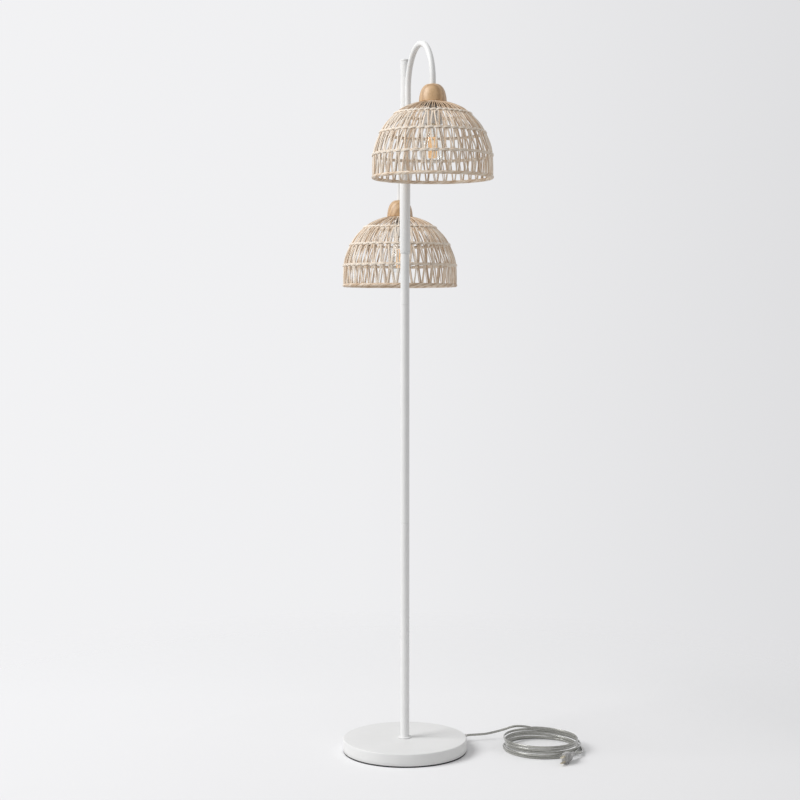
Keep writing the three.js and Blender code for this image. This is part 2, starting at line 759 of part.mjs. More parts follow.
function wovenShade() {
  const levels = weaveLevels(shadeOutline());
  const wall = new WovenWall();
  const slantedRows = HOOP_HEIGHTS.length;
  for (let row = 0; row <= slantedRows; row += 1) {
    const phase = (row % 2) / 2;
    addHoop(wall, levels, 2 * row, phase);
    if (row < slantedRows) addSlantedRow(wall, levels, 2 * row + 1, phase);
    else addSpokes(wall, levels, 2 * row + 1, phase);
  }
  addHoop(wall, levels, 2 * slantedRows + 2, (slantedRows % 2) / 2);
  const geometry = wall.geometry(SHADE_THICKNESS);
  geometry.translate(0, 0, -SHADE_HEIGHT);
  return toGeometry(toSolid(geometry));
}

function shadeRim() {
  const section = [];
  for (let i = 0; i <= RIM_SECTION_STEPS; i += 1) {
    const angle = ((i % RIM_SECTION_STEPS) / RIM_SECTION_STEPS) * FULL_TURN;
    section.push([
      SHADE_RADIUS + RIM_WIDTH / 2 * Math.sin(angle),
      RIM_HEIGHT / 2 * (1 - Math.cos(angle)) - SHADE_HEIGHT,
    ]);
  }
  return turned(section, WEAVE_COUNT);
}

// Lamp holder: depths below the cap's underside
const plateTop = -(SHADE_THICKNESS + 2 * CLEARANCE);
const plateBottom = plateTop - PLATE_THICKNESS;
const holderTop = plateBottom - CLEARANCE;
const holderBottom = holderTop - HOLDER_LENGTH;
const socketRadius = HOLDER_RADIUS - HOLDER_WALL;
const socketRoof = holderTop - HOLDER_ROOF;
const contactTop = socketRoof - CLEARANCE;
const screwCapTop = contactTop - CONTACT_THICKNESS - CLEARANCE;
const screwCapBottom = screwCapTop - SCREW_CAP_LENGTH;
const bulbNeck = screwCapBottom - CLEARANCE;
const knobHeight = -KNOB_DROP;

function lampHolder() {
  const shoulderTop = holderTop - HOLDER_NECK_HEIGHT;
  const body = toSolid(turned([
    [nippleHole, socketRoof],
    [socketRadius, socketRoof],
    [socketRadius, holderBottom],
    [HOLDER_RADIUS, holderBottom],
    [HOLDER_RADIUS, shoulderTop - HOLDER_SHOULDER],
    [(HOLDER_RADIUS * 3 + HOLDER_NECK_RADIUS) / 4, shoulderTop - HOLDER_SHOULDER / 3],
    [HOLDER_NECK_RADIUS, shoulderTop],
    [HOLDER_NECK_RADIUS, holderTop],
    [nippleHole, holderTop],
    [nippleHole, socketRoof],
  ], TURNED_SIDES));
  const shaftHole = laidAlongX(
    disc(KNOB_SHAFT_RADIUS + CLEARANCE, 0, HOLDER_WALL + 2 * CUT_OVERRUN, SMALL_SIDES),
    socketRadius - CUT_OVERRUN,
    knobHeight,
  );
  return toGeometry(body.subtract(toSolid(shaftHole)));
}

function switchKnob() {
  const shaft = HOLDER_WALL + CLEARANCE;
  const geometry = turned([
    [0, CLEARANCE],
    [KNOB_SHAFT_RADIUS, CLEARANCE],
    [KNOB_SHAFT_RADIUS, shaft],
    [KNOB_RADIUS, shaft],
    [KNOB_RADIUS * KNOB_WAIST_SHARE, shaft + KNOB_LENGTH / 2],
    [KNOB_RADIUS * KNOB_WAIST_SHARE, shaft + KNOB_LENGTH],
    [0, shaft + KNOB_LENGTH],
  ], SMALL_SIDES);
  return laidAlongX(geometry, socketRadius, knobHeight);
}

function screwCap() {
  return turned([
    [0, screwCapBottom],
    [SCREW_CAP_RADIUS, screwCapBottom],
    [SCREW_CAP_RADIUS, screwCapTop - SCREW_CAP_CONE],
    [SCREW_CAP_TIP_RADIUS, screwCapTop],
    [0, screwCapTop],
  ], TURNED_SIDES);
}

function bulbGlass() {
  const innerShare = (BULB_RADIUS - BULB_GLASS_WALL) / BULB_RADIUS;
  const innerLength = BULB_GLASS_LENGTH - BULB_GLASS_WALL;
  const outer = BULB_OUTLINE_SHARES.map(([across, down]) => (
    [across * BULB_RADIUS, bulbNeck - down * BULB_GLASS_LENGTH]
  ));
  const inner = BULB_OUTLINE_SHARES.map(([across, down]) => (
    [across * BULB_RADIUS * innerShare, bulbNeck - down * innerLength]
  ));
  return turned([
    [0, bulbNeck - BULB_GLASS_LENGTH],
    ...outer.reverse(),
    ...inner,
    [0, bulbNeck - innerLength],
  ], TURNED_SIDES);
}

const glassStemTip = bulbNeck - GLASS_STEM_LENGTH;

function glassStem() {
  return turned([
    [0, glassStemTip],
    [GLASS_STEM_TIP_RADIUS, glassStemTip],
    [GLASS_STEM_RADIUS, bulbNeck],
    [0, bulbNeck],
  ], SMALL_SIDES);
}

// Two small discs joined by upright glowing rods
function filament() {
  const top = glassStemTip - CLEARANCE;
  const bottom = top - FILAMENT_LENGTH;
  const discRadius = FILAMENT_RADIUS + FILAMENT_ROD_RADIUS;
  let cage = toSolid(disc(discRadius, top - FILAMENT_DISC_THICKNESS, top, TUBE_SIDES));
  cage = cage.add(toSolid(disc(discRadius, bottom, bottom + FILAMENT_DISC_THICKNESS, TUBE_SIDES)));
  for (let i = 0; i < FILAMENT_ROD_COUNT; i += 1) {
    const rod = disc(
      FILAMENT_ROD_RADIUS,
      bottom + FILAMENT_DISC_THICKNESS / 2, top - FILAMENT_DISC_THICKNESS / 2,
      FILAMENT_ROD_SIDES,
    );
    const angle = (i / FILAMENT_ROD_COUNT) * FULL_TURN;
    rod.translate((FILAMENT_RADIUS - FILAMENT_ROD_RADIUS) * Math.cos(angle),
      (FILAMENT_RADIUS - FILAMENT_ROD_RADIUS) * Math.sin(angle), 0);
    cage = cage.add(toSolid(rod));
  }
  return toGeometry(cage);
}

function addHead(lamp, side, angle, height, sleeveBottom, sleeveTop) {
  const arm = new THREE.Group();
  arm.rotation.z = toRadians(angle);
  arm.position.z = height;
  lamp.add(arm);
  addPiece(arm, `${side}_arm`, armWithSleeve(sleeveBottom - height, sleeveTop - height), 'whiteEnamel');
  const head = new THREE.Group();
  head.position.x = REACH;
  arm.add(head);
  addPiece(head, `${side}_cap`, woodCap(), 'oiledOak');
  const nipple = ring(nippleRadius - NIPPLE_WALL, nippleRadius, -NIPPLE_DROP, NIPPLE_RISE, SMALL_SIDES);
  addPiece(head, `${side}_nipple`, nipple, 'zincSteel');
  const plate = ring(nippleHole, SHADE_TOP_BORE + PLATE_OVERLAP, plateBottom, plateTop, TURNED_SIDES);
  addPiece(head, `${side}_shade_plate`, plate, 'zincSteel');
  addPiece(head, `${side}_shade`, wovenShade(), 'rattan');
  addPiece(head, `${side}_shade_rim`, shadeRim(), 'rattan');
  addPiece(head, `${side}_lamp_holder`, lampHolder(), 'whitePlastic');
  addPiece(head, `${side}_switch_knob`, switchKnob(), 'whitePlastic');
  const contact = disc(socketRadius - CONTACT_INSET, contactTop - CONTACT_THICKNESS, contactTop, SMALL_SIDES);
  addPiece(head, `${side}_socket_contact`, contact, 'brass');
  addPiece(head, `${side}_bulb_base`, screwCap(), 'zincSteel');
  addPiece(head, `${side}_bulb_glass`, bulbGlass(), 'clearGlass');
  addPiece(head, `${side}_bulb_stem`, glassStem(), 'clearGlass');
  addPiece(head, `${side}_filament`, filament(), 'amberGlow');
}

// Coil: flat turns stacked on one another; each climbs to the next on the far side, and the last
// one swings out and leaves along the floor
const coilFloor = CORD_RADIUS + COIL_FLOOR_GAP;
const coilTurns = COIL_FULL_TURNS + COIL_START_ANGLE / 360;

// Height in pitches lost since the top of a climb, for an angle that runs clockwise from 180 to -180
function climbShare(degrees) {
  const wrapped = THREE.MathUtils.euclideanModulo(degrees + 180, 360) - 180;
  return THREE.MathUtils.smoothstep(-wrapped, -COIL_CLIMB_START, -COIL_CLIMB_END);
}

function coilPoint(turns) {
  const degrees = COIL_START_ANGLE - turns * 360;
  const lapsAfterTop = Math.floor((180 - degrees) / 360);
  const pitches = Math.max(0, COIL_FULL_TURNS - lapsAfterTop - climbShare(degrees));
  const spread = THREE.MathUtils.smoothstep(turns, 0, COIL_SPREAD_TURNS);
  const wander = COIL_WANDER * Math.sin(turns * COIL_WANDER_SHARE * FULL_TURN) ** 2;
  const lastStart = coilTurns - COIL_LAST_SPREAD_START;
  const lastEnd = coilTurns - COIL_LAST_SPREAD_END;
  const lastSpread = COIL_LAST_SPREAD * THREE.MathUtils.smoothstep(turns, lastStart, lastEnd);
  const settled = THREE.MathUtils.lerp(COIL_START_RADIUS, COIL_RADIUS, spread) - wander * spread;
  const radius = settled + lastSpread;
  const angle = toRadians(degrees);
  return new THREE.Vector3(
    COIL_CENTRE[0] + radius * Math.cos(angle),
    COIL_CENTRE[1] + radius * Math.sin(angle),
    coilFloor + pitches * COIL_PITCH,
  );
}

function pathThrough(points) {
  const path = new THREE.CatmullRomCurve3(points, false, 'centripetal');
  path.arcLengthDivisions = points.length * COIL_STEPS_PER_TURN;
  return path;
}

// The coil's ends run straight for one cord diameter, level and square to what they meet
function coilEnds() {
  const start = coilPoint(0);
  const end = coilPoint(coilTurns);
  const startAngle = toRadians(COIL_START_ANGLE);
  return {
    start,
    startHeading: new THREE.Vector3(Math.sin(startAngle), -Math.cos(startAngle), 0),
    end,
    endHeading: new THREE.Vector3(0, -1, 0),
  };
}

function coilPath() {
  const { start, startHeading, end, endHeading } = coilEnds();
  const points = [];
  const steps = Math.round(coilTurns * COIL_STEPS_PER_TURN);
  points.push(start.clone().addScaledVector(startHeading, -2 * CORD_RADIUS));
  for (let i = 0; i <= steps; i += 1) points.push(coilPoint((i / steps) * coilTurns));
  points.push(end.clone().addScaledVector(endHeading, 2 * CORD_RADIUS));
  return pathThrough(points);
}

function leastCoilGap() {
  const samples = Math.round(coilTurns * COIL_SAMPLES_PER_TURN);
  const points = [];
  for (let i = 0; i <= samples; i += 1) points.push(coilPoint((i / samples) * coilTurns));
  let least = Infinity;
  for (let i = 0; i < points.length; i += 1) {
    for (let j = i + COIL_SAMPLES_PER_TURN / 2; j < points.length; j += 1) {
      least = Math.min(least, points[i].distanceTo(points[j]));
    }
  }
  return least - 2 * CORD_RADIUS;
}

// A free stretch between two pieces; its ends run straight for one cord diameter
function stretchPath(from, fromHeading, between, to, toHeading) {
  const straight = 2 * CORD_RADIUS;
  const start = from.clone().addScaledVector(fromHeading, CLEARANCE);
  const end = to.clone().addScaledVector(toHeading, -CLEARANCE);
  return pathThrough([
    start,
    start.clone().addScaledVector(fromHeading, straight),
    ...between.map((point) => new THREE.Vector3(...point)),
    end.clone().addScaledVector(toHeading, -straight),
    end,
  ]);
}

const plugHeight = PLUG_WIDTH / 2 + PLUG_FLOOR_GAP;
const plugFace = RELIEF_LENGTH + PLUG_LENGTH;

function leadPath() {
  const angle = toRadians(CORD_EXIT_ANGLE);
  const outward = new THREE.Vector3(Math.cos(angle), Math.sin(angle), 0);
  const mouth = outward.clone().multiplyScalar(cordExitRadius);
  mouth.z = CORD_EXIT_HEIGHT;
  const { start, startHeading } = coilEnds();
  const meet = start.clone().addScaledVector(startHeading, -2 * CORD_RADIUS);
  return stretchPath(mouth, outward, LEAD_POINTS, meet, startHeading);
}

function tailPath() {
  const { end, endHeading } = coilEnds();
  const leave = end.clone().addScaledVector(endHeading, 2 * CORD_RADIUS);
  const plugAngle = toRadians(PLUG_ANGLE);
  const inward = new THREE.Vector3(Math.cos(plugAngle), Math.sin(plugAngle), 0);
  const meet = new THREE.Vector3(...PLUG_POSITION, plugHeight);
  return stretchPath(leave, endHeading, TAIL_POINTS, meet, inward);
}

// Plug along +X from the cord's end, standing on one edge
function plugBody() {
  const halves = PLUG_OUTLINE_SHARES.map(([along, across]) => [
    RELIEF_LENGTH + along * PLUG_LENGTH, across * PLUG_WIDTH,
  ]);
  const outline = new THREE.Shape([
    ...halves.map(([x, y]) => new THREE.Vector2(x, -y)),
    ...halves.reverse().map(([x, y]) => new THREE.Vector2(x, y)),
  ]);
  const body = new THREE.ExtrudeGeometry(outline, {
    depth: PLUG_THICKNESS - 2 * PLUG_EDGE,
    bevelThickness: PLUG_EDGE,
    bevelSize: PLUG_EDGE,
    bevelOffset: -PLUG_EDGE,
    bevelSegments: 1,
    steps: 1,
  });
  body.translate(0, 0, PLUG_EDGE - PLUG_THICKNESS / 2);
  body.rotateX(HALF_TURN / 2);
  const profile = [[0, 0]];
  const ribStep = RELIEF_LENGTH / (2 * RELIEF_RIB_COUNT);
  for (let i = 0; i <= 2 * RELIEF_RIB_COUNT; i += 1) {
    const taper = THREE.MathUtils.lerp(CORD_RADIUS + RELIEF_RIB, RELIEF_RADIUS, i / (2 * RELIEF_RIB_COUNT));
    profile.push([taper + (i % 2) * RELIEF_RIB, i * ribStep]);
  }
  profile.push([RELIEF_RADIUS, RELIEF_LENGTH + PLUG_LENGTH / 2]);
  profile.push([0, RELIEF_LENGTH + PLUG_LENGTH / 2]);
  const relief = laidAlongX(turned(profile, SMALL_SIDES), 0, 0);
  let plug = toSolid(body).add(toSolid(relief));
  for (const side of [-1, 1]) {
    const seat = box(
      PIN_SEAT + CUT_OVERRUN, PIN_WIDTH + 2 * CLEARANCE, PIN_THICKNESS + 2 * CLEARANCE,
      plugFace + (CUT_OVERRUN - PIN_SEAT) / 2, 0, side * PIN_SPACING / 2,
    );
    plug = plug.subtract(toSolid(seat));
  }
  return toGeometry(plug);
}

// Flat blade with cut corners and a round hole near its tip
function plugPin(side) {
  const root = plugFace - PIN_SEAT + CLEARANCE;
  const tip = plugFace + PIN_LENGTH;
  const half = PIN_WIDTH / 2;
  const outline = new THREE.Shape([
    new THREE.Vector2(root, -half),
    new THREE.Vector2(tip - PIN_CORNER, -half),
    new THREE.Vector2(tip, PIN_CORNER - half),
    new THREE.Vector2(tip, half - PIN_CORNER),
    new THREE.Vector2(tip - PIN_CORNER, half),
    new THREE.Vector2(root, half),
  ]);
  const blade = toSolid(new THREE.ExtrudeGeometry(outline, { depth: PIN_THICKNESS, bevelEnabled: false }));
  const hole = disc(PIN_HOLE_RADIUS, -CUT_OVERRUN, PIN_THICKNESS + CUT_OVERRUN, BORE_SIDES);
  hole.translate(tip - PIN_HOLE_INSET, 0, 0);
  const geometry = toGeometry(blade.subtract(toSolid(hole)));
  geometry.translate(0, 0, side * PIN_SPACING / 2 - PIN_THICKNESS / 2);
  return geometry;
}

function addCord(lamp) {
  addPiece(lamp, 'cord_lead', tube(leadPath(), CORD_RADIUS, CORD_SIDES, LEAD_STEPS), 'clearVinyl');
  const coilSteps = Math.round((coilTurns + 2 * CORD_RADIUS / COIL_RADIUS / HALF_TURN) * COIL_STEPS_PER_TURN);
  addPiece(lamp, 'cord_coil', tube(coilPath(), CORD_RADIUS, COIL_SIDES, coilSteps), 'clearVinyl');
  addPiece(lamp, 'cord_tail', tube(tailPath(), CORD_RADIUS, CORD_SIDES, TAIL_STEPS), 'clearVinyl');
  const plug = new THREE.Group();
  plug.position.set(...PLUG_POSITION, plugHeight);
  plug.rotation.z = toRadians(PLUG_ANGLE);
  lamp.add(plug);
  addPiece(plug, 'plug_body', plugBody(), 'clearVinyl');
  addPiece(plug, 'plug_pin_upper', plugPin(1), 'brass');
  addPiece(plug, 'plug_pin_lower', plugPin(-1), 'brass');
  const length = leadPath().getLength() + coilPath().getLength() + tailPath().getLength();
  console.log(`least gap between the coil's turns ${leastCoilGap().toFixed(2)} mm`);
  console.log(`cord length ${length.toFixed(0)} mm`);
}

const lamp = new THREE.Group();
addBase(lamp);
addPole(lamp);
addSwivelRings(lamp);
addHead(lamp, 'upper', UPPER_HEAD_ANGLE, UPPER_HEAD_HEIGHT, upperSleeveBottom, upperSleeveTop);
addHead(lamp, 'lower', LOWER_HEAD_ANGLE, UPPER_HEAD_HEIGHT - HEAD_SPACING, lowerSleeveBottom, lowerSleeveTop);
addCord(lamp);

export default lamp;
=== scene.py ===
import math
import random

import bpy
import numpy as np
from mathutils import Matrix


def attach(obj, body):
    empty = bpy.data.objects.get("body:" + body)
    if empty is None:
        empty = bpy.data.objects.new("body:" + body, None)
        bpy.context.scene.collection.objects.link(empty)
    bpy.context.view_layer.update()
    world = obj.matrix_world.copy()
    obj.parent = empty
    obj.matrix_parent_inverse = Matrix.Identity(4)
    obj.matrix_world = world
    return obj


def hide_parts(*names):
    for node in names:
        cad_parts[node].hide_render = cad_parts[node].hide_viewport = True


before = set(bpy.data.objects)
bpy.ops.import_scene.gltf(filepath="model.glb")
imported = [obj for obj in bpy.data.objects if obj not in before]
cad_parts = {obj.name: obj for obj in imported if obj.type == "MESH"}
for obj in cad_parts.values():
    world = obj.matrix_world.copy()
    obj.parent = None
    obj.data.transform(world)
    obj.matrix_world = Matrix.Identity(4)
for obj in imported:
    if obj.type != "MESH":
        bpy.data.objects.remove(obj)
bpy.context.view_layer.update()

# Floor lamp with two woven cane shades. Sizes are written in millimetres and built in metres.
MM = 0.001


# ---------------------------------------------------------------- mesh helpers

def make_object(name, verts, faces, material, smooth=True, sharp=40, uvs=None, tone=None):
    """A mesh object from vertices in millimetres, with an optional UV per corner and tone per vertex."""
    mesh = bpy.data.meshes.new(name)
    mesh.from_pydata((np.asarray(verts, float) * MM).tolist(), [], [tuple(f) for f in faces])
    if uvs is not None:
        layer = mesh.uv_layers.new(name="Along")
        layer.data.foreach_set("uv", np.asarray(uvs, np.float32).reshape(-1))
    if tone is not None:
        attribute = mesh.attributes.new("tone", "FLOAT", "POINT")
        attribute.data.foreach_set("value", np.asarray(tone, np.float32))
    mesh.validate()
    mesh.polygons.foreach_set("use_smooth", [smooth] * len(mesh.polygons))
    if smooth and sharp:
        mesh.set_sharp_from_angle(angle=math.radians(sharp))
    mesh.materials.append(material)
    obj = bpy.data.objects.new(name, mesh)
    bpy.context.scene.collection.objects.link(obj)
    return obj


def solid_piece(name, parts, material, body, node, sharp=40, place=None):
    """Makes one lathe or joined piece, puts it on its body and lets it stand for a CAD node."""
    verts, faces = parts
    if place is not None:
        verts = place(verts)
    obj = make_object(name, verts, faces, material, sharp=sharp)
    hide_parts(node)
    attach(obj, body)
    return obj


def soften(profile, radius, steps=4, closed=False):
    """Rounds the corners of a profile of [across, up] points."""
    points = [np.array(p, float) for p in profile]
    count = len(points)
    out = []
    for i, corner in enumerate(points):
        if not closed and i in (0, count - 1):
            out.append(corner)
            continue
        to_before, to_after = points[i - 1] - corner, points[(i + 1) % count] - corner
        long_before, long_after = np.linalg.norm(to_before), np.linalg.norm(to_after)
        if long_before < 1e-6 or long_after < 1e-6:
            continue
        turn = np.dot(to_before, to_after) / (long_before * long_after)
        if turn < -0.995:
            out.append(corner)
            continue
        reach = min(radius, long_before * 0.45, long_after * 0.45)
        start = corner + to_before / long_before * reach
        end = corner + to_after / long_after * reach
        for k in range(steps + 1):
            t = k / steps
            out.append((1 - t) ** 2 * start + 2 * t * (1 - t) * corner + t ** 2 * end)
    return out


def band(inner, outer, low, high):
    """Square profile of a ring, or of a disc where inner is zero."""
    return [(inner, low), (outer, low), (outer, high), (inner, high)]


def lathe(profile, sides=96, closed=False, ripple=None):
    """Vertices and faces of a profile turned about Z; points on the axis become one vertex."""
    verts, rows = [], []
    for r, z in profile:
        if r < 1e-6:
            rows.append([len(verts)] * sides)
            verts.append((0.0, 0.0, z))
            continue
        rows.append(range(len(verts), len(verts) + sides))
        for k in range(sides):
            angle = 2 * math.pi * k / sides
            reach = r if ripple is None else r + ripple(angle, r, z)
            verts.append((reach * math.cos(angle), reach * math.sin(angle), z))
    if closed:
        rows.append(rows[0])
    faces = []
    for low, high in zip(rows, rows[1:]):
        for k in range(sides):
            n = (k + 1) % sides
            face = tuple(dict.fromkeys((low[k], low[n], high[n], high[k])))
            if len(face) > 2:
                faces.append(face)
    return verts, faces


def placed(verts, x=0.0, y=0.0, z=0.0, turn=0.0, lay=False):
    """Moves vertices: laid along +X if lay, then turned about Z by an angle in degrees, then shifted."""
    v = np.asarray(verts, float)
    if lay:
        v = np.stack([v[:, 2], v[:, 1], -v[:, 0]], axis=1)
    c, s = math.cos(math.radians(turn)), math.sin(math.radians(turn))
    return np.stack([v[:, 0] * c - v[:, 1] * s + x, v[:, 0] * s + v[:, 1] * c + y, v[:, 2] + z], axis=1)


def joined(parts):
    """Joins (verts, faces) parts into one."""
    verts, faces = [], []
    for part_verts, part_faces in parts:
        start = len(verts)
        verts.extend(np.asarray(part_verts, float).tolist())
        faces.extend([tuple(i + start for i in f) for f in part_faces])
    return verts, faces


def tangents(points, closed=False):
    """Unit directions along a line of points."""
    p = np.asarray(points, float)
    if closed:
        t = np.roll(p, -1, axis=0) - np.roll(p, 1, axis=0)
    else:
        t = np.gradient(p, axis=0)
    return t / np.maximum(np.linalg.norm(t, axis=1, keepdims=True), 1e-12)


def travel(points):
    """Distance along a line at each of its points."""
    return np.concatenate([[0], np.cumsum(np.linalg.norm(np.diff(points, axis=0), axis=1))])


def tube_faces(count, sides, closed=False):
    """Faces between the rows of a tube's vertices, and over both ends of an open tube."""
    faces = []
    for i in range(count if closed else count - 1):
        j = (i + 1) % count
        for k in range(sides):
            m = (k + 1) % sides
            faces.append((i * sides + k, i * sides + m, j * sides + m, j * sides + k))
    if not closed:
        faces.append(tuple(range(sides - 1, -1, -1)))
        faces.append(tuple((count - 1) * sides + k for k in range(sides)))
    return faces


def swept(points, section, normals, closed=False, scale=None):
    """Sweeps a section of [across, out] points along a line; normals say which side is out."""
    p = np.asarray(points, float)
    t = tangents(p, closed)
    n = np.asarray(normals, float)
    n = n - (n * t).sum(1, keepdims=True) * t
    n /= np.maximum(np.linalg.norm(n, axis=1, keepdims=True), 1e-12)
    b = np.cross(t, n)
    s = np.asarray(section, float)
    size = np.ones(len(p)) if scale is None else np.asarray(scale, float)
    offsets = b[:, None, :] * s[None, :, 0, None] + n[:, None, :] * s[None, :, 1, None]
    verts = (p[:, None, :] + size[:, None, None] * offsets).reshape(-1, 3)
    sides = len(s)
    along = travel([*p, p[0]] if closed else p) * MM
    uvs = []
    for u0, u1 in zip(along, along[1:]):
        for k in range(sides):
            v0, v1 = k / sides, (k + 1) / sides
            uvs += [(u0, v0), (u0, v1), (u1, v1), (u1, v0)]
    if not closed:
        uvs += [(0, 0)] * sides + [(along[-1], 0)] * sides
    return verts, tube_faces(len(p), sides, closed), uvs


def circle(radius, sides):
    angles = [2 * math.pi * k / sides for k in range(sides)]
    return [(radius * math.cos(a), radius * math.sin(a)) for a in angles]


class Bundle:
    """Gathers many swept canes into one mesh with UVs and tones."""

    def __init__(self):
        self.verts, self.faces, self.uvs, self.tone = [], [], [], []
        self.count = 0

    def add(self, swept_parts, tone):
        verts, faces, uvs = swept_parts
        self.faces += [tuple(i + self.count for i in f) for f in faces]
        self.verts.append(np.asarray(verts, float))
        self.uvs += uvs
        self.tone.append(np.broadcast_to(tone, len(verts)))
        self.count += len(verts)

    def ring(self, points, normals, radius, tone):
        """A closed cane with a tone for each of its points."""
        self.add(swept(points, circle(radius, CANE_SIDES), normals, closed=True), np.repeat(tone, CANE_SIDES))

    def build(self, name, material, place):
        verts, tone = place(np.concatenate(self.verts)), np.concatenate(self.tone)
        return make_object(name, verts, self.faces, material, sharp=0, uvs=self.uvs, tone=tone)


def cubic(start, end, leave, arrive, steps):
    """Points of a cubic curve from start up to its end, which is left out, with its slopes at both."""
    square, cube = 3 * (end - start) - 2 * leave - arrive, 2 * (start - end) + leave + arrive
    shares = [k / steps for k in range(steps)]
    return [start + leave * t + square * t ** 2 + cube * t ** 3 for t in shares]


def catmull(points, steps):
    """Uniform Catmull-Rom line through points."""
    p = [np.array(q, float) for q in points]
    p = [p[0], *p, p[-1]]
    out = []
    for a, b, c, d in zip(p, p[1:], p[2:], p[3:]):
        out += cubic(b, c, (c - a) / 2, (d - b) / 2, steps)
    return np.array([*out, p[-1]])


def centripetal(points, steps):
    """Centripetal Catmull-Rom line through points, with its ends continued straight."""
    p = [np.array(q, float) for q in points]
    p = [2 * p[0] - p[1], *p, 2 * p[-1] - p[-2]]
    out = []
    for a, b, c, d in zip(p, p[1:], p[2:], p[3:]):
        d0, d1, d2 = (max(np.linalg.norm(v - u), 1e-6) ** 0.5 for u, v in ((a, b), (b, c), (c, d)))
        leave = ((b - a) / d0 - (c - a) / (d0 + d1) + (c - b) / d1) * d1
        arrive = ((c - b) / d1 - (d - b) / (d1 + d2) + (d - c) / d2) * d1
        out += cubic(b, c, leave, arrive, steps)
    return np.array([*out, p[-2]])


def signed_power(x, power):
    return abs(x) ** power * (1 if x >= 0 else -1)


def smoothstep(x, low, high):
    t = min(1.0, max(0.0, (x - low) / (high - low)))
    return t * t * (3 - 2 * t)


# ---------------------------------------------------------------- material helpers

class Nodes:
    """A material, or the world, with a few short calls for making and linking nodes."""

    def __init__(self, name, kind="Material"):
        self.owner = (bpy.data.worlds if kind == "World" else bpy.data.materials).new(name)
        self.owner.use_nodes = True
        self.tree = self.owner.node_tree
        self.tree.nodes.clear()
        self.output = self.tree.nodes.new("ShaderNodeOutput" + kind)

    def add(self, kind, inputs=None, **settings):
        node = self.tree.nodes.new("ShaderNode" + kind)
        for key, value in settings.items():
            setattr(node, key, value)
        for key, value in (inputs or {}).items():
            self.put(node.inputs[key], value)
        return node

    def put(self, socket, value):
        if isinstance(value, bpy.types.NodeSocket):
            self.tree.links.new(value, socket)
        else:
            socket.default_value = value

    def surface(self, shader):
        """Links the last shader and gives back the finished material or world."""
        self.tree.links.new(shader, self.output.inputs["Surface"])
        return self.owner

    def principled(self, colour, roughness, normal=None, others=None):
        inputs = {"Base Color": colour, "Roughness": roughness, **(others or {})}
        if normal is not None:
            inputs["Normal"] = normal
        return self.surface(self.add("BsdfPrincipled", inputs).outputs[0])

    def mix_shader(self, factor, a, b):
        return self.add("MixShader", {0: factor, 1: a, 2: b}).outputs[0]

    def coordinates(self):
        return self.add("TexCoord").outputs["Object"]

    def along(self):
        return self.add("UVMap", uv_map="Along").outputs[0]

    def mapped(self, vector, scale, rotation=(0, 0, 0)):
        inputs = {"Vector": vector, "Scale": scale, "Rotation": rotation}
        return self.add("Mapping", inputs).outputs[0]

    def noise(self, vector, scale, detail=3.0, rough=0.5, distortion=0.0):
        return self.add("TexNoise", {
            "Vector": vector, "Scale": scale, "Detail": detail, "Roughness": rough, "Distortion": distortion,
        }).outputs["Fac"]

    def ramp(self, factor, stops):
        node = self.add("ValToRGB", {"Fac": factor})
        elements = node.color_ramp.elements
        while len(elements) < len(stops):
            elements.new(0.5)
        for element, (at, colour) in zip(elements, stops):
            element.position, element.color = at, (*colour, 1)
        return node.outputs["Color"]

    def range(self, value, low, high, start=0.0, end=1.0):
        return self.add("MapRange", {
            "Value": value, "From Min": start, "From Max": end, "To Min": low, "To Max": high,
        }).outputs[0]

    def math(self, operation, a, b=0.0):
        return self.add("Math", {0: a, 1: b}, operation=operation).outputs[0]

    def mix(self, factor, a, b, blend="MIX"):
        return self.add("Mix", {0: factor, 6: a, 7: b}, data_type="RGBA", blend_type=blend).outputs[2]

    def bump(self, height, strength, distance):
        inputs = {"Height": height, "Strength": strength, "Distance": distance}
        return self.add("Bump", inputs).outputs[0]

    def vector(self, operation, a, b=None):
        inputs = {0: a} if b is None else {0: a, 1: b}
        return self.add("VectorMath", inputs, operation=operation).outputs

    def looked_at(self, *rays):
        """One for the camera's rays and the named ones, zero for the light that bounces."""
        paths = self.add("LightPath").outputs
        factor = paths["Is Camera Ray"]
        for ray in rays:
            factor = self.math("MAXIMUM", factor, paths[ray])
        return factor


def enamel(name, low, high):
    """Satin powder coat: a very fine orange peel and faint changes of gloss."""
    m = Nodes(name)
    at = m.coordinates()
    peel = m.noise(at, 1400, 2, 0.5)
    cloud = m.noise(at, 16, 3, 0.55)
    colour = m.ramp(cloud, [(0.3, (low, low, low * 0.995)), (0.7, (high, high, high * 0.995))])
    return m.principled(
        colour, m.range(cloud, 0.38, 0.47), m.bump(peel, 0.16, 0.0002), {"Specular IOR Level": 0.42},
    )


def foam():
    """Closed-cell foam rubber."""
    m = Nodes("black_foam")
    at = m.coordinates()
    cells = m.add("TexVoronoi", {"Vector": at, "Scale": 1300.0}).outputs["Distance"]
    colour = m.ramp(cells, [(0.0, (0.012, 0.012, 0.013)), (0.6, (0.035, 0.035, 0.037))])
    return m.principled(colour, 0.92, m.bump(cells, 0.6, 0.0004))


def metal(name, base, rough):
    """Drawn or plated metal with fine lines and small stains."""
    m = Nodes(name)
    at = m.coordinates()
    lines = m.noise(m.mapped(at, scale=(500, 500, 40)), 1.0, 3, 0.6)
    stains = m.noise(at, 60, 4, 0.6)
    dark = tuple(c * 0.78 for c in base)
    colour = m.mix(m.range(stains, 0, 1, 0.35, 0.65), (*dark, 1), (*base, 1))
    gloss = m.range(lines, rough * 0.75, rough * 1.3)
    return m.principled(colour, gloss, m.bump(lines, 0.15, 0.0001), {"Metallic": 1.0})


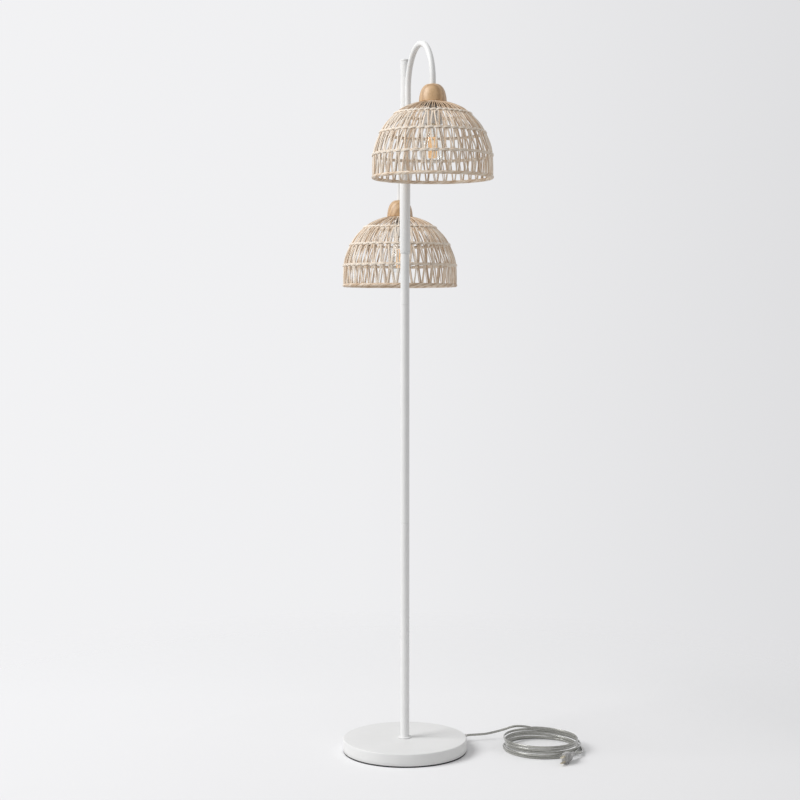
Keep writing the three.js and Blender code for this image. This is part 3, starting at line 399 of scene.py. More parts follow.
def cast_iron():
    """Rough grey casting."""
    m = Nodes("cast_iron")
    at = m.coordinates()
    grain = m.noise(at, 420, 5, 0.65)
    patches = m.noise(at, 35, 4, 0.6)
    colour = m.ramp(patches, [(0.3, (0.045, 0.045, 0.048)), (0.7, (0.10, 0.10, 0.105))])
    return m.principled(colour, m.range(grain, 0.6, 0.9), m.bump(grain, 0.5, 0.0006), {"Metallic": 0.55})


PLASTIC_SPREAD = 0.03


def plastic(name, base, rough):
    """Moulded plastic with a fine spark-eroded texture."""
    m = Nodes(name)
    at = m.coordinates()
    grain = m.noise(at, 1700, 3, 0.6)
    cloud = m.noise(at, 40, 2, 0.5)
    low = tuple(max(0, c - PLASTIC_SPREAD) for c in base)
    colour = m.mix(cloud, (*low, 1), (*base, 1))
    return m.principled(colour, m.range(cloud, rough - 0.04, rough + 0.06), m.bump(grain, 0.12, 0.0001))


def turned_wood():
    """Pale turned hardwood: long grain along the axis, rings that show as arches, fine open pores."""
    m = Nodes("pale_turned_wood")
    at = m.coordinates()
    stretched = m.mapped(at, scale=(1, 1, 0.16), rotation=(0.09, 0.16, 0))
    rings = m.add("TexWave", {
        "Vector": stretched, "Scale": 58.0, "Distortion": 3.2, "Detail": 2.5, "Detail Scale": 14.0,
    }, wave_type="RINGS", rings_direction="X").outputs["Fac"]
    fibres = m.noise(m.mapped(at, scale=(900, 900, 36), rotation=(0.02, 0.03, 0)), 1.0, 4, 0.62)
    pores = m.noise(m.mapped(at, scale=(1500, 1500, 90)), 1.0, 2, 0.5)
    early = m.ramp(rings, [
        (0.0, (0.42, 0.242, 0.104)), (0.35, (0.56, 0.342, 0.158)), (1.0, (0.69, 0.452, 0.235)),
    ])
    streaked = m.mix(m.range(fibres, 0.0, 0.55, 0.35, 0.75), early, (0.39, 0.235, 0.11, 1))
    flecked = m.mix(m.range(pores, 0.0, 0.5, 0.62, 0.74), streaked, (0.24, 0.14, 0.07, 1))
    height = m.math("SUBTRACT", m.math("MULTIPLY", fibres, 0.6), m.range(pores, 0.0, 0.8, 0.62, 0.74))
    return m.principled(flecked, m.range(fibres, 0.42, 0.6), m.bump(height, 0.35, 0.00025), {
        "Coat Weight": 0.85, "Coat Roughness": 0.46,
    })


def rattan():
    """Natural cane: each length has its own tone, long fibres, paler skin and small dark joints."""
    m = Nodes("natural_rattan")
    along = m.along()
    at = m.coordinates()
    tone = m.add("Attribute", attribute_name="tone").outputs["Fac"]
    patches = m.noise(at, 42, 3, 0.6)
    fibres = m.noise(m.mapped(along, scale=(90, 9, 1)), 1.0, 4, 0.65)
    fine = m.noise(m.mapped(along, scale=(260, 26, 1)), 1.0, 2, 0.5)
    bands = m.noise(m.mapped(along, scale=(38, 0.6, 1)), 1.0, 2, 0.4)
    patchy = m.math("MULTIPLY", m.math("SUBTRACT", patches, 0.5), 0.7)
    body = m.ramp(m.math("ADD", m.math("MULTIPLY", tone, 0.78), patchy), [
        (0.0, (0.95, 0.865, 0.76)), (0.26, (0.91, 0.785, 0.65)),
        (0.52, (0.76, 0.595, 0.44)), (0.85, (0.52, 0.365, 0.235)),
    ])
    streaked = m.mix(m.range(fibres, 0.0, 0.5, 0.5, 0.78), body, (0.44, 0.31, 0.20, 1))
    jointed = m.mix(m.range(bands, 0.0, 0.65, 0.69, 0.77), streaked, (0.29, 0.19, 0.115, 1))
    height = m.math("ADD", m.math("MULTIPLY", fibres, 0.7), m.math("MULTIPLY", fine, 0.3))
    return m.principled(
        jointed, m.range(fibres, 0.4, 0.62), m.bump(height, 0.45, 0.0003), {"Specular IOR Level": 0.5},
    )


def clear_flex():
    """Clear sheath over two tinned wires: silver strands, darkened at the top and bottom of the section as
    painted shade where the coil's turns touch, under a glossy coat.
    """
    m = Nodes("clear_silver_flex")
    along = m.along()
    strands = m.add("TexWave", {
        "Vector": m.mapped(along, scale=(150, 6, 1)), "Scale": 1.0, "Distortion": 0.6, "Detail": 1.0,
    }, wave_type="BANDS", bands_direction="DIAGONAL", wave_profile="SIN").outputs["Fac"]
    cloud = m.noise(m.mapped(along, scale=(26, 3, 1)), 1.0, 3, 0.6)
    silver = m.ramp(strands, [
        (0.0, (0.19, 0.189, 0.168)), (0.45, (0.335, 0.333, 0.302)), (1.0, (0.56, 0.557, 0.515)),
    ])
    # Painted shade: the colour is darkest at the top and bottom of the section, where turns of the coil
    # touch, and brightest at the sides.
    round_part = m.add("SeparateXYZ", {0: along}).outputs["Y"]
    swing = m.math("ABSOLUTE", m.math("COSINE", m.math("MULTIPLY", round_part, 2 * math.pi)))
    painted_contact_shade = m.ramp(swing, [
        (0.0, (0.10, 0.10, 0.085)), (0.5, (0.62, 0.62, 0.59)), (0.85, (1.0, 1.0, 1.0)),
    ])
    silver = m.mix(1.0, silver, painted_contact_shade, "MULTIPLY")
    colour = m.mix(m.range(cloud, 0.0, 0.45, 0.4, 0.7), silver, (0.24, 0.238, 0.22, 1))
    return m.principled(colour, m.range(cloud, 0.2, 0.36), m.bump(strands, 0.35, 0.0003), {
        "Metallic": 0.45, "Coat Weight": 1.0, "Coat Roughness": 0.12, "Coat IOR": 1.7,
    })


def clear_plastic():
    """Clear moulded plug: grey, a little cloudy, glossy."""
    m = Nodes("clear_plug_plastic")
    at = m.coordinates()
    cloud = m.noise(at, 190, 4, 0.6, 0.6)
    colour = m.ramp(cloud, [(0.3, (0.36, 0.35, 0.342)), (0.7, (0.62, 0.61, 0.60))])
    return m.principled(colour, m.range(cloud, 0.14, 0.26), m.bump(cloud, 0.2, 0.0004), {
        "Transmission Weight": 0.35, "IOR": 1.5, "Coat Weight": 0.6, "Coat Roughness": 0.08,
    })


def glass():
    """Thin clear glass: mostly see-through, with a sheen that grows at the edges."""
    m = Nodes("clear_bulb_glass")
    at = m.coordinates()
    wave = m.noise(at, 55, 2, 0.5)
    normal = m.bump(wave, 0.06, 0.001)
    facing = m.add("LayerWeight", {"Blend": 0.5, "Normal": normal}).outputs["Facing"]
    clear = m.add("BsdfTransparent", {"Color": (0.975, 0.978, 0.975, 1)}).outputs[0]
    gloss = m.add("BsdfPrincipled", {
        "Base Color": (0.93, 0.935, 0.93, 1), "Roughness": 0.04, "Metallic": 1.0, "Normal": normal,
    }).outputs[0]
    edge = m.math("POWER", facing, 3.5)
    return m.surface(m.mix_shader(m.range(edge, 0.035, 0.42), clear, gloss))


def amber():
    """Glowing amber filament rods, a little uneven."""
    m = Nodes("amber_glow")
    at = m.coordinates()
    spots = m.noise(m.mapped(at, scale=(300, 300, 900)), 1.0, 2, 0.5)
    glow = m.ramp(spots, [(0.3, (0.80, 0.46, 0.18)), (0.7, (0.93, 0.62, 0.31))])
    return m.principled((0.72, 0.46, 0.22, 1), 0.45, None, {"Emission Color": glow, "Emission Strength": 0.5})


# ---------------------------------------------------------------- camera

CAMERA_PLACE = (-0.0111, -3.5129, 0.982)
CAMERA_LENS, SENSOR_WIDTH, LOOKS_DOWN = 70.55, 36, 3.02
camera_data = bpy.data.cameras.new("camera")
camera_data.lens = CAMERA_LENS
camera_data.sensor_width = SENSOR_WIDTH
camera = bpy.data.objects.new("camera", camera_data)
camera.location = CAMERA_PLACE
camera.rotation_euler = (math.radians(90 - LOOKS_DOWN), 0, 0)
bpy.context.scene.collection.objects.link(camera)
bpy.context.scene.camera = camera

# ---------------------------------------------------------------- materials

# Two copies of one white powder coat: the base's copy is painted darker, against the light the floor throws
# back on it, and the tubes' copy is painted lighter, to lift the pole and arms.
BASE_WHITE_PAINTED_DARKER = enamel("white_powder_coat", 0.80, 0.835)
TUBE_WHITE_PAINTED_LIGHTER = enamel("white_powder_coat_tube_painted_lighter", 0.85, 0.885)
RATTAN = rattan()
WOOD = turned_wood()
FLEX = clear_flex()
PLUG = clear_plastic()
GLASS = glass()
AMBER = amber()
ZINC = metal("zinc_plate", (0.62, 0.63, 0.64), 0.32)
BRASS = metal("brass", (0.62, 0.45, 0.20), 0.30)
PIN_METAL = metal("pale_brass_pins", (0.70, 0.64, 0.49), 0.34)
HOLDER = plastic("white_holder_plastic", (0.66, 0.655, 0.64), 0.36)
# The washer plate is coloured dark brown as painted shade, so the gaps between the top canes look dark under
# the cap.
PLATE_AS_PAINTED_SHADE = plastic("plate_dark_as_painted_shade", (0.12, 0.085, 0.06), 0.6)
IRON = cast_iron()
FOAM = foam()

# ---------------------------------------------------------------- supply cord

CORD_RADIUS, FLEX_HALF_THICKNESS, FLEX_ROUNDING, WAIST_DEPTH, WAIST_WIDTH = 2.7, 1.55, 0.82, 0.24, 0.30
STRAIGHT, JOINT_GAP = 5.4, 0.3
EXIT_ANGLE, EXIT_HEIGHT, EXIT_RADIUS = 28, 14, 162.3
COIL_CENTRE = (311.4, 10.8)
COIL_RADIUS, COIL_START_RADIUS, COIL_START_ANGLE, COIL_TURNS = 84, 75, 95, 5
COIL_TOTAL = COIL_TURNS + COIL_START_ANGLE / 360
COIL_FLOOR, COIL_PITCH, COIL_WANDER, COIL_LOOSE, LAST_TURN_OUT = 2.85, 5.9, 0.8, 1.5, 6.6
COIL_SHIFT = (2.6, 2.4)
LEAD = [
    (187, 90, 13.8), (208, 94, 17), (232, 93, 24), (251, 88, 31.5), (270, 84.6, 33.4), (287, 84, 31.5),
]
TAIL = [(401.6, -12, 3), (399.5, -29, 4.6), (394, -44, 7.8), (386, -55.8, 11.2)]
PLUG_END = (376.6, -67.7, 12.7)
PLUG_ANGLE = 240


def level_direction(degrees):
    a = math.radians(degrees)
    return np.array([math.cos(a), math.sin(a), 0])


def coil_point(turns):
    """A point of the coil, which winds down from its top; its middle turns lie a little loose."""
    degrees = COIL_START_ANGLE - turns * 360
    laps = math.floor((180 - degrees) / 360)
    wrapped = (degrees + 180) % 360 - 180
    pitches = max(0, COIL_TURNS - laps - smoothstep(-wrapped, -150, -30))
    spread = smoothstep(turns, 0, 0.45)
    wander = COIL_WANDER * math.sin(turns * 0.83 * 2 * math.pi) ** 2
    last = LAST_TURN_OUT * smoothstep(turns, COIL_TOTAL - 0.6, COIL_TOTAL - 0.37)
    radius = COIL_START_RADIUS + (COIL_RADIUS - COIL_START_RADIUS) * spread - wander * spread + last
    loose = smoothstep(turns, 0.2, 0.8) * (1 - smoothstep(turns, COIL_TOTAL - 1.1, COIL_TOTAL - 0.6))
    radius += COIL_LOOSE * loose * math.sin(turns * 2.9 + 0.6)
    swing = np.array([math.sin(turns * 2.3 + 2.2), math.sin(turns * 3.1)])
    x, y = level_direction(degrees)[:2] * radius + COIL_CENTRE + swing * COIL_SHIFT * loose
    return (x, y, COIL_FLOOR + COIL_PITCH * pitches)


def cord_line():
    """The whole route: out of the grommet, over to the coil, round it and along to the plug."""
    out = level_direction(EXIT_ANGLE)
    mouth = out * (EXIT_RADIUS + JOINT_GAP) + np.array([0, 0, EXIT_HEIGHT])
    heading = level_direction(COIL_START_ANGLE - 90)
    back = np.array([0, -1.0, 0])
    steps = round(COIL_TOTAL * 24)
    first = np.array(coil_point(0)) - heading * STRAIGHT
    last = np.array(coil_point(COIL_TOTAL)) + back * STRAIGHT
    meets_coil = first - heading * JOINT_GAP
    lead = centripetal([mouth, mouth + out * STRAIGHT, *LEAD, meets_coil - heading * STRAIGHT, meets_coil], 6)
    turns = [coil_point(i / steps * COIL_TOTAL) for i in range(steps + 1)]
    coil = centripetal([first, *turns, last], 3)
    inward = level_direction(PLUG_ANGLE)
    leave = last + back * JOINT_GAP
    meet = np.array(PLUG_END) - inward * JOINT_GAP
    tail = centripetal([leave, leave + back * STRAIGHT, *TAIL, meet - inward * STRAIGHT, meet], 6)
    inside = [mouth - out * d for d in (5.0, 2.5)]
    return np.concatenate([inside, lead, coil, tail, [np.array(PLUG_END) + inward * 3]])


def twin_section():
    """Two round wires moulded side by side, 5.4 mm by 3.1 mm; its long side stands upright."""
    points = []
    for x, y in circle(1, 20):
        waist = 1 - WAIST_DEPTH * math.exp(-((y / WAIST_WIDTH) ** 2))
        points.append((FLEX_HALF_THICKNESS * x * waist, CORD_RADIUS * signed_power(y, FLEX_ROUNDING)))
    return points


# The route, without points that fall together; the flex rolls a few degrees to and fro along it.
route = cord_line()
keep = [0] + [i for i in range(1, len(route)) if np.linalg.norm(route[i] - route[i - 1]) > 0.05]
route = route[keep]
up = np.tile([0.0, 0.0, 1.0], (len(route), 1))
travelled = travel(route)
aside = np.cross(tangents(route), up)
roll = np.radians(9) * np.sin(travelled / 61.0) + np.radians(6) * np.sin(travelled / 23.0 + 1)
up = up * np.cos(roll)[:, None] + aside * np.sin(roll)[:, None]
cord_verts, cord_faces, cord_uvs = swept(route, twin_section(), up)
cord = make_object("supply_cord", cord_verts, cord_faces, FLEX, sharp=0, uvs=cord_uvs)
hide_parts("cord_lead", "cord_coil", "cord_tail")
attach(cord, "stand")


# ---------------------------------------------------------------- plug

# Along the plug, half its width and half its thickness
PLUG_OUTLINE = [
    (18, 5.6, 5.4), (19, 7.0, 6.3), (22, 8.8, 6.8), (26, 9.9, 7.0), (30.2, 10.6, 7.0),
    (34, 11.6, 7.0), (37, 12.4, 7.0), (51, 12.45, 6.95), (52.4, 11.9, 6.4), (53, 11.0, 5.7),
]
PLUG_ROUNDING = 0.46
GRIP_START, GRIP_END, GRIP_HALF_WIDTH, GRIP_DEPTH, GRIP_GROOVES = 35.5, 49, 9.5, 1.6, 3


def plug_shell():
    """Flat plug body as a loft of rounded sections along +X, with finger grooves and a ribbed relief."""
    at, wide, thick = (np.array(column, float) for column in zip(*PLUG_OUTLINE))
    stations = sorted({*at.tolist(), *np.arange(GRIP_START, GRIP_END + 0.1, 0.5).tolist()})
    sides = 48
    verts = []
    for x in stations:
        groove = 0.0
        if GRIP_START < x < GRIP_END:
            phase = (x - GRIP_START) / (GRIP_END - GRIP_START) * GRIP_GROOVES * 2 * math.pi
            groove = GRIP_DEPTH * (0.5 - 0.5 * math.cos(phase))
        half_wide, half_thick = np.interp(x, at, wide), np.interp(x, at, thick)
        for c, s in circle(1, sides):
            y, z = half_thick * signed_power(c, PLUG_ROUNDING), half_wide * signed_power(s, PLUG_ROUNDING)
            share = max(0.0, 1 - (abs(z) / GRIP_HALF_WIDTH) ** 6) * min(1.0, abs(c) * 3)
            verts.append((x, y - groove * (1 if c >= 0 else -1) * share, z))
    shell = verts, tube_faces(len(stations), sides)
    ribs = [(3.6 + 2.4 * i / 8 + (0.7 if i % 2 else 0.0), 0.4 + i * 2.45) for i in range(9)]
    profile = [(0, 0), (3.0, 0), *ribs, (6.0, 22), (0, 22)]
    relief_verts, relief_faces = lathe(soften(profile, 0.7, 3), 32)
    return joined([shell, (placed(relief_verts, lay=True), relief_faces)])


PIN_SPACING, PIN_WIDTH, PIN_THICKNESS, PIN_CORNER = 12.7, 6.3, 1.5, 1.4
PIN_ROOT, PIN_SQUARE, PIN_TIP, PIN_HOLE = 50.3, 60.5, 70.5, 1.6


def plug_blade():
    """Flat blade along +X: a plain bar, then a square with cut corners round the hole near its tip."""
    half, middle = PIN_WIDTH / 2, (PIN_SQUARE + PIN_TIP) / 2
    corners = [
        (PIN_SQUARE, -half), (PIN_TIP - PIN_CORNER, -half), (PIN_TIP, PIN_CORNER - half),
        (PIN_TIP, half - PIN_CORNER), (PIN_TIP - PIN_CORNER, half), (PIN_SQUARE, half),
    ]
    edge, ring = [], []
    for (x0, y0), (x1, y1) in zip(corners, corners[1:] + corners[:1]):
        edge += [(x0 + (x1 - x0) * t / 4, y0 + (y1 - y0) * t / 4) for t in range(4)]
    for x, y in edge:
        reach = math.hypot(x - middle, y)
        ring.append((middle + (x - middle) / reach * PIN_HOLE, y / reach * PIN_HOLE))
    count, low, high = len(edge), -PIN_THICKNESS / 2, PIN_THICKNESS / 2
    loops = ((edge, low), (edge, high), (ring, low), (ring, high))
    verts = [(x, y, z) for loop, z in loops for x, y in loop]
    faces = []
    for k in range(count):
        n = (k + 1) % count
        for a, b in ((0, 1), (1, 3), (3, 2), (2, 0)):
            faces.append((a * count + k, a * count + n, b * count + n, b * count + k))
    bar = [(x, y, z) for x in (PIN_ROOT, PIN_SQUARE) for y in (-half, half) for z in (low, high)]
    bar_faces = [(0, 1, 3, 2), (4, 6, 7, 5), (0, 4, 5, 1), (2, 3, 7, 6), (0, 2, 6, 4), (1, 5, 7, 3)]
    return joined([(verts, faces), (bar, bar_faces)])


def at_plug(verts):
    return placed(verts, *PLUG_END, turn=PLUG_ANGLE)


plug = solid_piece("plug_shell", plug_shell(), PLUG, "stand", "plug_body", 50, at_plug)
for name, side in (("plug_pin_upper", 1), ("plug_pin_lower", -1)):
    verts, faces = plug_blade()
    blade = placed(verts, z=side * PIN_SPACING / 2), faces
    solid_piece(name + "_blade", blade, PIN_METAL, "stand", name, 30, at_plug)


# ---------------------------------------------------------------- base

def stand_piece(name, profile, sides, material, node, closed=True, sharp=40):
    """A turned piece of the stand."""
    solid_piece(name, lathe(profile, sides, closed=closed), material, "stand", node, sharp)


PAD_RADIUS, PAD_HEIGHT = 139.4, 3.1
BASE_RADIUS, BASE_HEIGHT, BASE_WALL, BASE_EDGE, STEM_BORE = 140, 30, 1.6, 2.5, 5.3
pad = soften(band(0, PAD_RADIUS, 0, PAD_HEIGHT), 0.4, 3)
stand_piece("floor_pad", pad, 160, FOAM, "base_pad", closed=False)
edge = [
    (BASE_RADIUS - BASE_EDGE * (1 - math.cos(a)), BASE_HEIGHT - BASE_EDGE * (1 - math.sin(a)))
    for a in np.linspace(0, math.pi / 2, 7)
]
inside, ceiling, hem = BASE_RADIUS - BASE_WALL, BASE_HEIGHT - BASE_WALL, PAD_HEIGHT + 0.1
cover = [
    (STEM_BORE, ceiling), (inside, ceiling), (inside, hem + 0.2), (inside + 0.3, hem),
    (BASE_RADIUS - 0.4, hem), (BASE_RADIUS, hem + 0.4), (BASE_RADIUS, 12), *edge,
    (90, BASE_HEIGHT), (40, BASE_HEIGHT), (STEM_BORE, BASE_HEIGHT),
]
stand_piece("base_shell", cover, 192, BASE_WHITE_PAINTED_DARKER, "base_cover", sharp=60)


def grommet_piece():
    """Moulded cable sleeve in the side wall: a flange inside and out, then a ribbed tapering relief."""
    profile = [
        (3.0, 134), (6.2, 134), (6.4, 135.6), (4.4, 136.2), (4.4, 139.6),
        (6.3, 140.1), (6.4, 141.4), (5.6, 142.2), (4.4, 142.6),
    ]
    for i in range(8):
        start, wide = 143.4 + i * 2.3, 4.4 - 0.6 * i / 7
        narrow = wide - 0.45
        profile += [(wide, start), (wide, start + 1.1), (narrow, start + 1.35), (narrow, start + 2.05)]
    profile += [(3.75, 161.9), (3.45, EXIT_RADIUS), (3.05, EXIT_RADIUS)]
    verts, faces = lathe(soften(profile, 0.3, 2, closed=True), 48, closed=True)
    return placed(placed(verts, lay=True), z=EXIT_HEIGHT, turn=EXIT_ANGLE), faces


solid_piece("cord_sleeve", grommet_piece(), HOLDER, "stand", "cord_grommet")

# ---------------------------------------------------------------- pole

FOOT = BASE_HEIGHT + 0.3
CAP_SEAT, POLE_TOP, CAP_PLUG_RADIUS, CAP_PLUG_DEPTH = 1549.5, 1553.0, 8.2, 14
JOINTS = [FOOT, 520, 1010, CAP_SEAT]
POLE_INNER, POLE_OUTER, SLEEVE_BORE, SLEEVE_OUTER = 8.5, 10.0, 10.3, 11.7
for i, name in enumerate(("pole_lower", "pole_middle", "pole_upper")):
    low, high = JOINTS[i], JOINTS[i + 1] - 0.3
    tube = [
        (POLE_INNER, low), (POLE_OUTER - 0.3, low), (POLE_OUTER, low + 0.35),
        *[(POLE_OUTER, z) for z in np.linspace(low + 1, high - 1, 9)],
        (POLE_OUTER, high - 0.35), (POLE_OUTER - 0.3, high), (POLE_INNER, high),
    ]
    stand_piece(name + "_tube", tube, 64, TUBE_WHITE_PAINTED_LIGHTER, name)
flange = soften([
    (SLEEVE_BORE, FOOT), (15.0, FOOT), (15.0, 31.5), (14.2, 32.6), (11.6, 33.2), (10.9, 34.4),
    (SLEEVE_BORE, 34.8),
], 0.4, 3, closed=True)
stand_piece("foot_collar", flange, 64, BASE_WHITE_PAINTED_DARKER, "pole_foot_ring")
pole_top = soften([
    (0, CAP_SEAT - CAP_PLUG_DEPTH), (CAP_PLUG_RADIUS, CAP_SEAT - CAP_PLUG_DEPTH), (CAP_PLUG_RADIUS, CAP_SEAT),
    (10.1, CAP_SEAT), (10.1, POLE_TOP - 0.6), (9.6, POLE_TOP), (0, POLE_TOP),
], 0.25, 4)
stand_piece("pole_top_cap", pole_top, 64, TUBE_WHITE_PAINTED_LIGHTER, "pole_cap", closed=False)

SWIVEL_RING_HEIGHT = 5
for name, low in {"swivel_ring_lower": 1124.0, "swivel_ring_upper": 1281.3}.items():
    high = low + SWIVEL_RING_HEIGHT
    ring = soften([
        (SLEEVE_BORE, low), (10.7, low), (SLEEVE_OUTER, low + 3.4), (SLEEVE_OUTER, high), (SLEEVE_BORE, high),
    ], 0.15, 3, closed=True)
    stand_piece(name + "_collar", ring, 64, TUBE_WHITE_PAINTED_LIGHTER, name)

# ---------------------------------------------------------------- woven shades

SHADE_HEIGHT, SHADE_RADIUS, COLLAR_RADIUS, COLLAR_MIDDLE = 161.7, 130.0, 33.0, 160.2
OUTLINE_SHARES = [
    (0.993, 0), (0.993, 0.17), (0.98, 0.345), (0.926, 0.49),
    (0.838, 0.65), (0.716, 0.78), (0.548, 0.9), (0.36, 0.975),
]
HOOPS = [49.0, 96.0, 136.0]
NODES_ROUND = 40
CANE, CANE_PITCH, WEAVER, RIM_CANE, RIM_CORE, RING_CANE = 1.04, 2.06, 1.22, 1.08, 1.9, 1.13
CANE_SIDES, CANE_STEP, CANE_BEND, HOOP_HALF = 8, 7, 1.8, 2.4
CANE_BOW, CANE_LIFT = (0, 0.55), (0.15, 0.35)
PALE, DARK, PALE_SHARE = (0.14, 0.12), (0.74, 0.17), 0.6
WEAVER_REACH, WEAVER_CLIMB = 2.2, 1.1
COLLAR_RINGS, COLLAR_RING_HEIGHT = (23.2, 25.5, 27.8, 30.1, 32.4), -1.55

shares = [(a * SHADE_RADIUS, b * COLLAR_MIDDLE) for a, b in OUTLINE_SHARES]
outline = catmull([*shares, (COLLAR_RADIUS, COLLAR_MIDDLE)], 60)
outline_along = travel(outline)
# The outline again at each millimetre, so that a distance along it is an index too.
fine_along = np.arange(0, outline_along[-1], 1.0)
fine_radius = np.interp(fine_along, outline_along, outline[:, 0])
fine_height = np.interp(fine_along, outline_along, outline[:, 1])
slope = tangents(np.stack([fine_radius, fine_height], axis=1))
fine_out = np.stack([slope[:, 1], -slope[:, 0]], axis=1)
hoop_along = [float(np.interp(h, fine_height, fine_along)) for h in HOOPS]


def smoothed(values, sigma):
    """Values blurred along their line, with both ends held."""
    reach = int(3 * sigma)
    kernel = np.exp(-0.5 * (np.arange(-reach, reach + 1) / sigma) ** 2)
    kernel /= kernel.sum()
    padded = np.concatenate([np.full(reach, values[0]), values, np.full(reach, values[-1])])
    return np.convolve(padded, kernel, mode="valid")


def turned(r, angles, z):
    """Points at radii, angles and heights."""
    across = r * np.cos(angles)
    return np.stack([across, r * np.sin(angles), np.broadcast_to(z, across.shape)], axis=1)


def wall_points(along_index, angles, lift):
    """Points on the dome wall from indices along its outline, angles round it and lifts off it."""
    out_r, out_z = fine_out[along_index].T
    r = fine_radius[along_index] + out_r * lift
    z = fine_height[along_index] + out_z * lift
    return turned(r, angles, z - SHADE_HEIGHT), turned(out_r, angles, out_z)


def stake(bundle, column, which, dice):
    """One upright cane. Pairs lean left and right in turn, and meet their neighbours on each hoop."""
    stations = [2.0, *hoop_along, fine_along[-1]]
    turns = []
    for row, along in enumerate(stations[:4]):
        radius = np.interp(along, fine_along, fine_radius)
        right_of_node = (column + row) % 2 == 0
        node = column / 2 if right_of_node else (column + 1) / 2
        shift = (0.5 + which) if right_of_node else (which - 1.5)
        turns.append(node + shift * CANE_PITCH / (2 * math.pi * radius / NODES_ROUND) + dice.gauss(0, 0.008))
    turns.append((column + 0.5) / 2 + dice.gauss(0, 0.03))
    at, value = [0.0], [turns[0]]
    for along, turn in zip(stations[:4], turns[:4]):
        at += [max(0.0, along - HOOP_HALF), along + HOOP_HALF]
        value += [turn, turn]
    at.append(fine_along[-1])
    value.append(turns[4])
    end = int(hoop_along[2] + 6) if which == 1 else len(fine_along) - 1
    turn_line = smoothed(np.interp(fine_along, at, value), CANE_BEND)
    bow, lift = np.zeros(len(fine_along)), np.zeros(len(fine_along))
    for low, high in zip(stations[:-1], stations[1:]):
        share = np.clip((fine_along - low) / (high - low), 0, 1)
        wave = np.sin(share * math.pi)
        bow += dice.gauss(*CANE_BOW) * wave
        lift += dice.gauss(*CANE_LIFT) * wave
    angles = turn_line / NODES_ROUND * 2 * math.pi + bow / np.maximum(fine_radius, 1)
    near_hoops = [int(h + d) for h in hoop_along for d in (-5, -2, 0, 2, 5) if h + d < end]
    keep = np.array(sorted({*range(2, end, CANE_STEP), *near_hoops, end}))
    points, normals = wall_points(keep, angles[keep], lift[keep])
    size = 1 + dice.gauss(0, 0.06)
    # Canes past the top hoop get a darker tone, by a random amount for each: painted shade in the top of the
    # dome under the cap, partly each spoke's own tone.
    past_top_hoop = np.clip((fine_along[keep] - hoop_along[2] - 3) / 8, 0, 1)
    painted_shade_under_cap = (0.15 + 0.8 * dice.random()) * past_top_hoop
    own_tone = dice.gauss(*PALE) if dice.random() < PALE_SHARE else dice.gauss(*DARK)
    tone = np.clip(own_tone + painted_shade_under_cap, 0, 1)
    bundle.add(swept(points, circle(CANE * size, CANE_SIDES), normals), np.repeat(tone, CANE_SIDES))


def hoop_weavers(bundle, level, dice):
    """Two doubled canes that twist round each other, one outside each group of stakes, one inside."""
    phase = ((level + 1) % 2) / 2
    index = int(round(hoop_along[level]))
    radius, height = fine_radius[index], fine_height[index]
    out_r, out_z = fine_out[index]
    per_node = 10
    turn = np.arange(NODES_ROUND * per_node) / per_node
    angle = turn / NODES_ROUND * 2 * math.pi
    drift = 0.3 * np.sin(angle * 3 + level) + 0.2 * np.sin(angle * 7 + 2 * level)
    for weaver in (0, 1):
        twist = math.pi * (turn - phase) + weaver * math.pi
        cosine = np.cos(twist)
        reach = WEAVER_REACH * np.sign(cosine) * np.abs(cosine) ** 0.6
        climb = WEAVER_CLIMB * np.sin(twist)
        for pair in (-1, 1):
            rise = climb + pair * WEAVER * 0.98 + drift
            r = radius + out_r * reach - out_z * rise
            z = height + out_z * reach + out_r * rise
            base = min(1, max(0, dice.gauss(0.12, 0.1)))
            tone = np.clip(base + 0.12 * np.sin(angle * 2 + weaver + pair), 0, 1)
            bundle.ring(turned(r, angle, z - SHADE_HEIGHT), turned(out_r, angle, out_z), WEAVER, tone)


RIM_LAY, RIM_TURNS, RIM_PAIR_ANGLE = 2.65, 20, 21.5


def rim_border(bundle, dice):
    """The border under the last stakes: four doubled canes laid round a core, like a rope."""
    count = 480
    angle = np.arange(count) / count * 2 * math.pi
    middle_r, middle_z = SHADE_RADIUS * OUTLINE_SHARES[0][0] - 1.2, 2.4 - SHADE_HEIGHT
    upright = turned(0.0, angle, 1.0)
    for k in range(8):
        apart = math.radians(RIM_PAIR_ANGLE if k % 2 else -RIM_PAIR_ANGLE)
        lay = angle * RIM_TURNS + math.pi / 2 * (k // 2) + apart
        reach = RIM_LAY + 0.12 * np.sin(angle * 13 + k)
        points = turned(middle_r + reach * np.cos(lay), angle, middle_z + reach * np.sin(lay))
        drift = 0.2 * np.sin(angle * 3 + k) + 0.14 * np.sin(angle * 11 + 2 * k)
        bundle.ring(points, upright, RIM_CANE, np.clip(dice.gauss(0.5, 0.14) + drift, 0, 1))
    core = turned(middle_r, angle, middle_z)
    bundle.add(swept(core, circle(RIM_CORE, 10), upright, closed=True), 0.8)


def collar_rings(bundle, dice):
    """Close rings of cane that the spokes end on, under the wooden cap."""
    count = 96
    angle = np.arange(count) / count * 2 * math.pi
    for i, radius in enumerate(COLLAR_RINGS):
        points = turned(radius, angle, COLLAR_RING_HEIGHT + 0.12 * np.sin(angle * 5 + i))
        tone = min(1, max(0, dice.gauss(0.4, 0.15)))
        bundle.ring(points, turned(1.0, angle, 0.0), RING_CANE, np.full(count, tone))


ARM_REACH = 154.3
HEADS = {
    "upper": {"angle": -67.6, "height": 1439.7, "sleeve": (1286.6, 1416.0), "girth": 0.992, "seed": 11},
    "lower": {"angle": 94.2, "height": 1215.3, "sleeve": (1129.3, 1281.0), "girth": 1.016, "seed": 23},
}


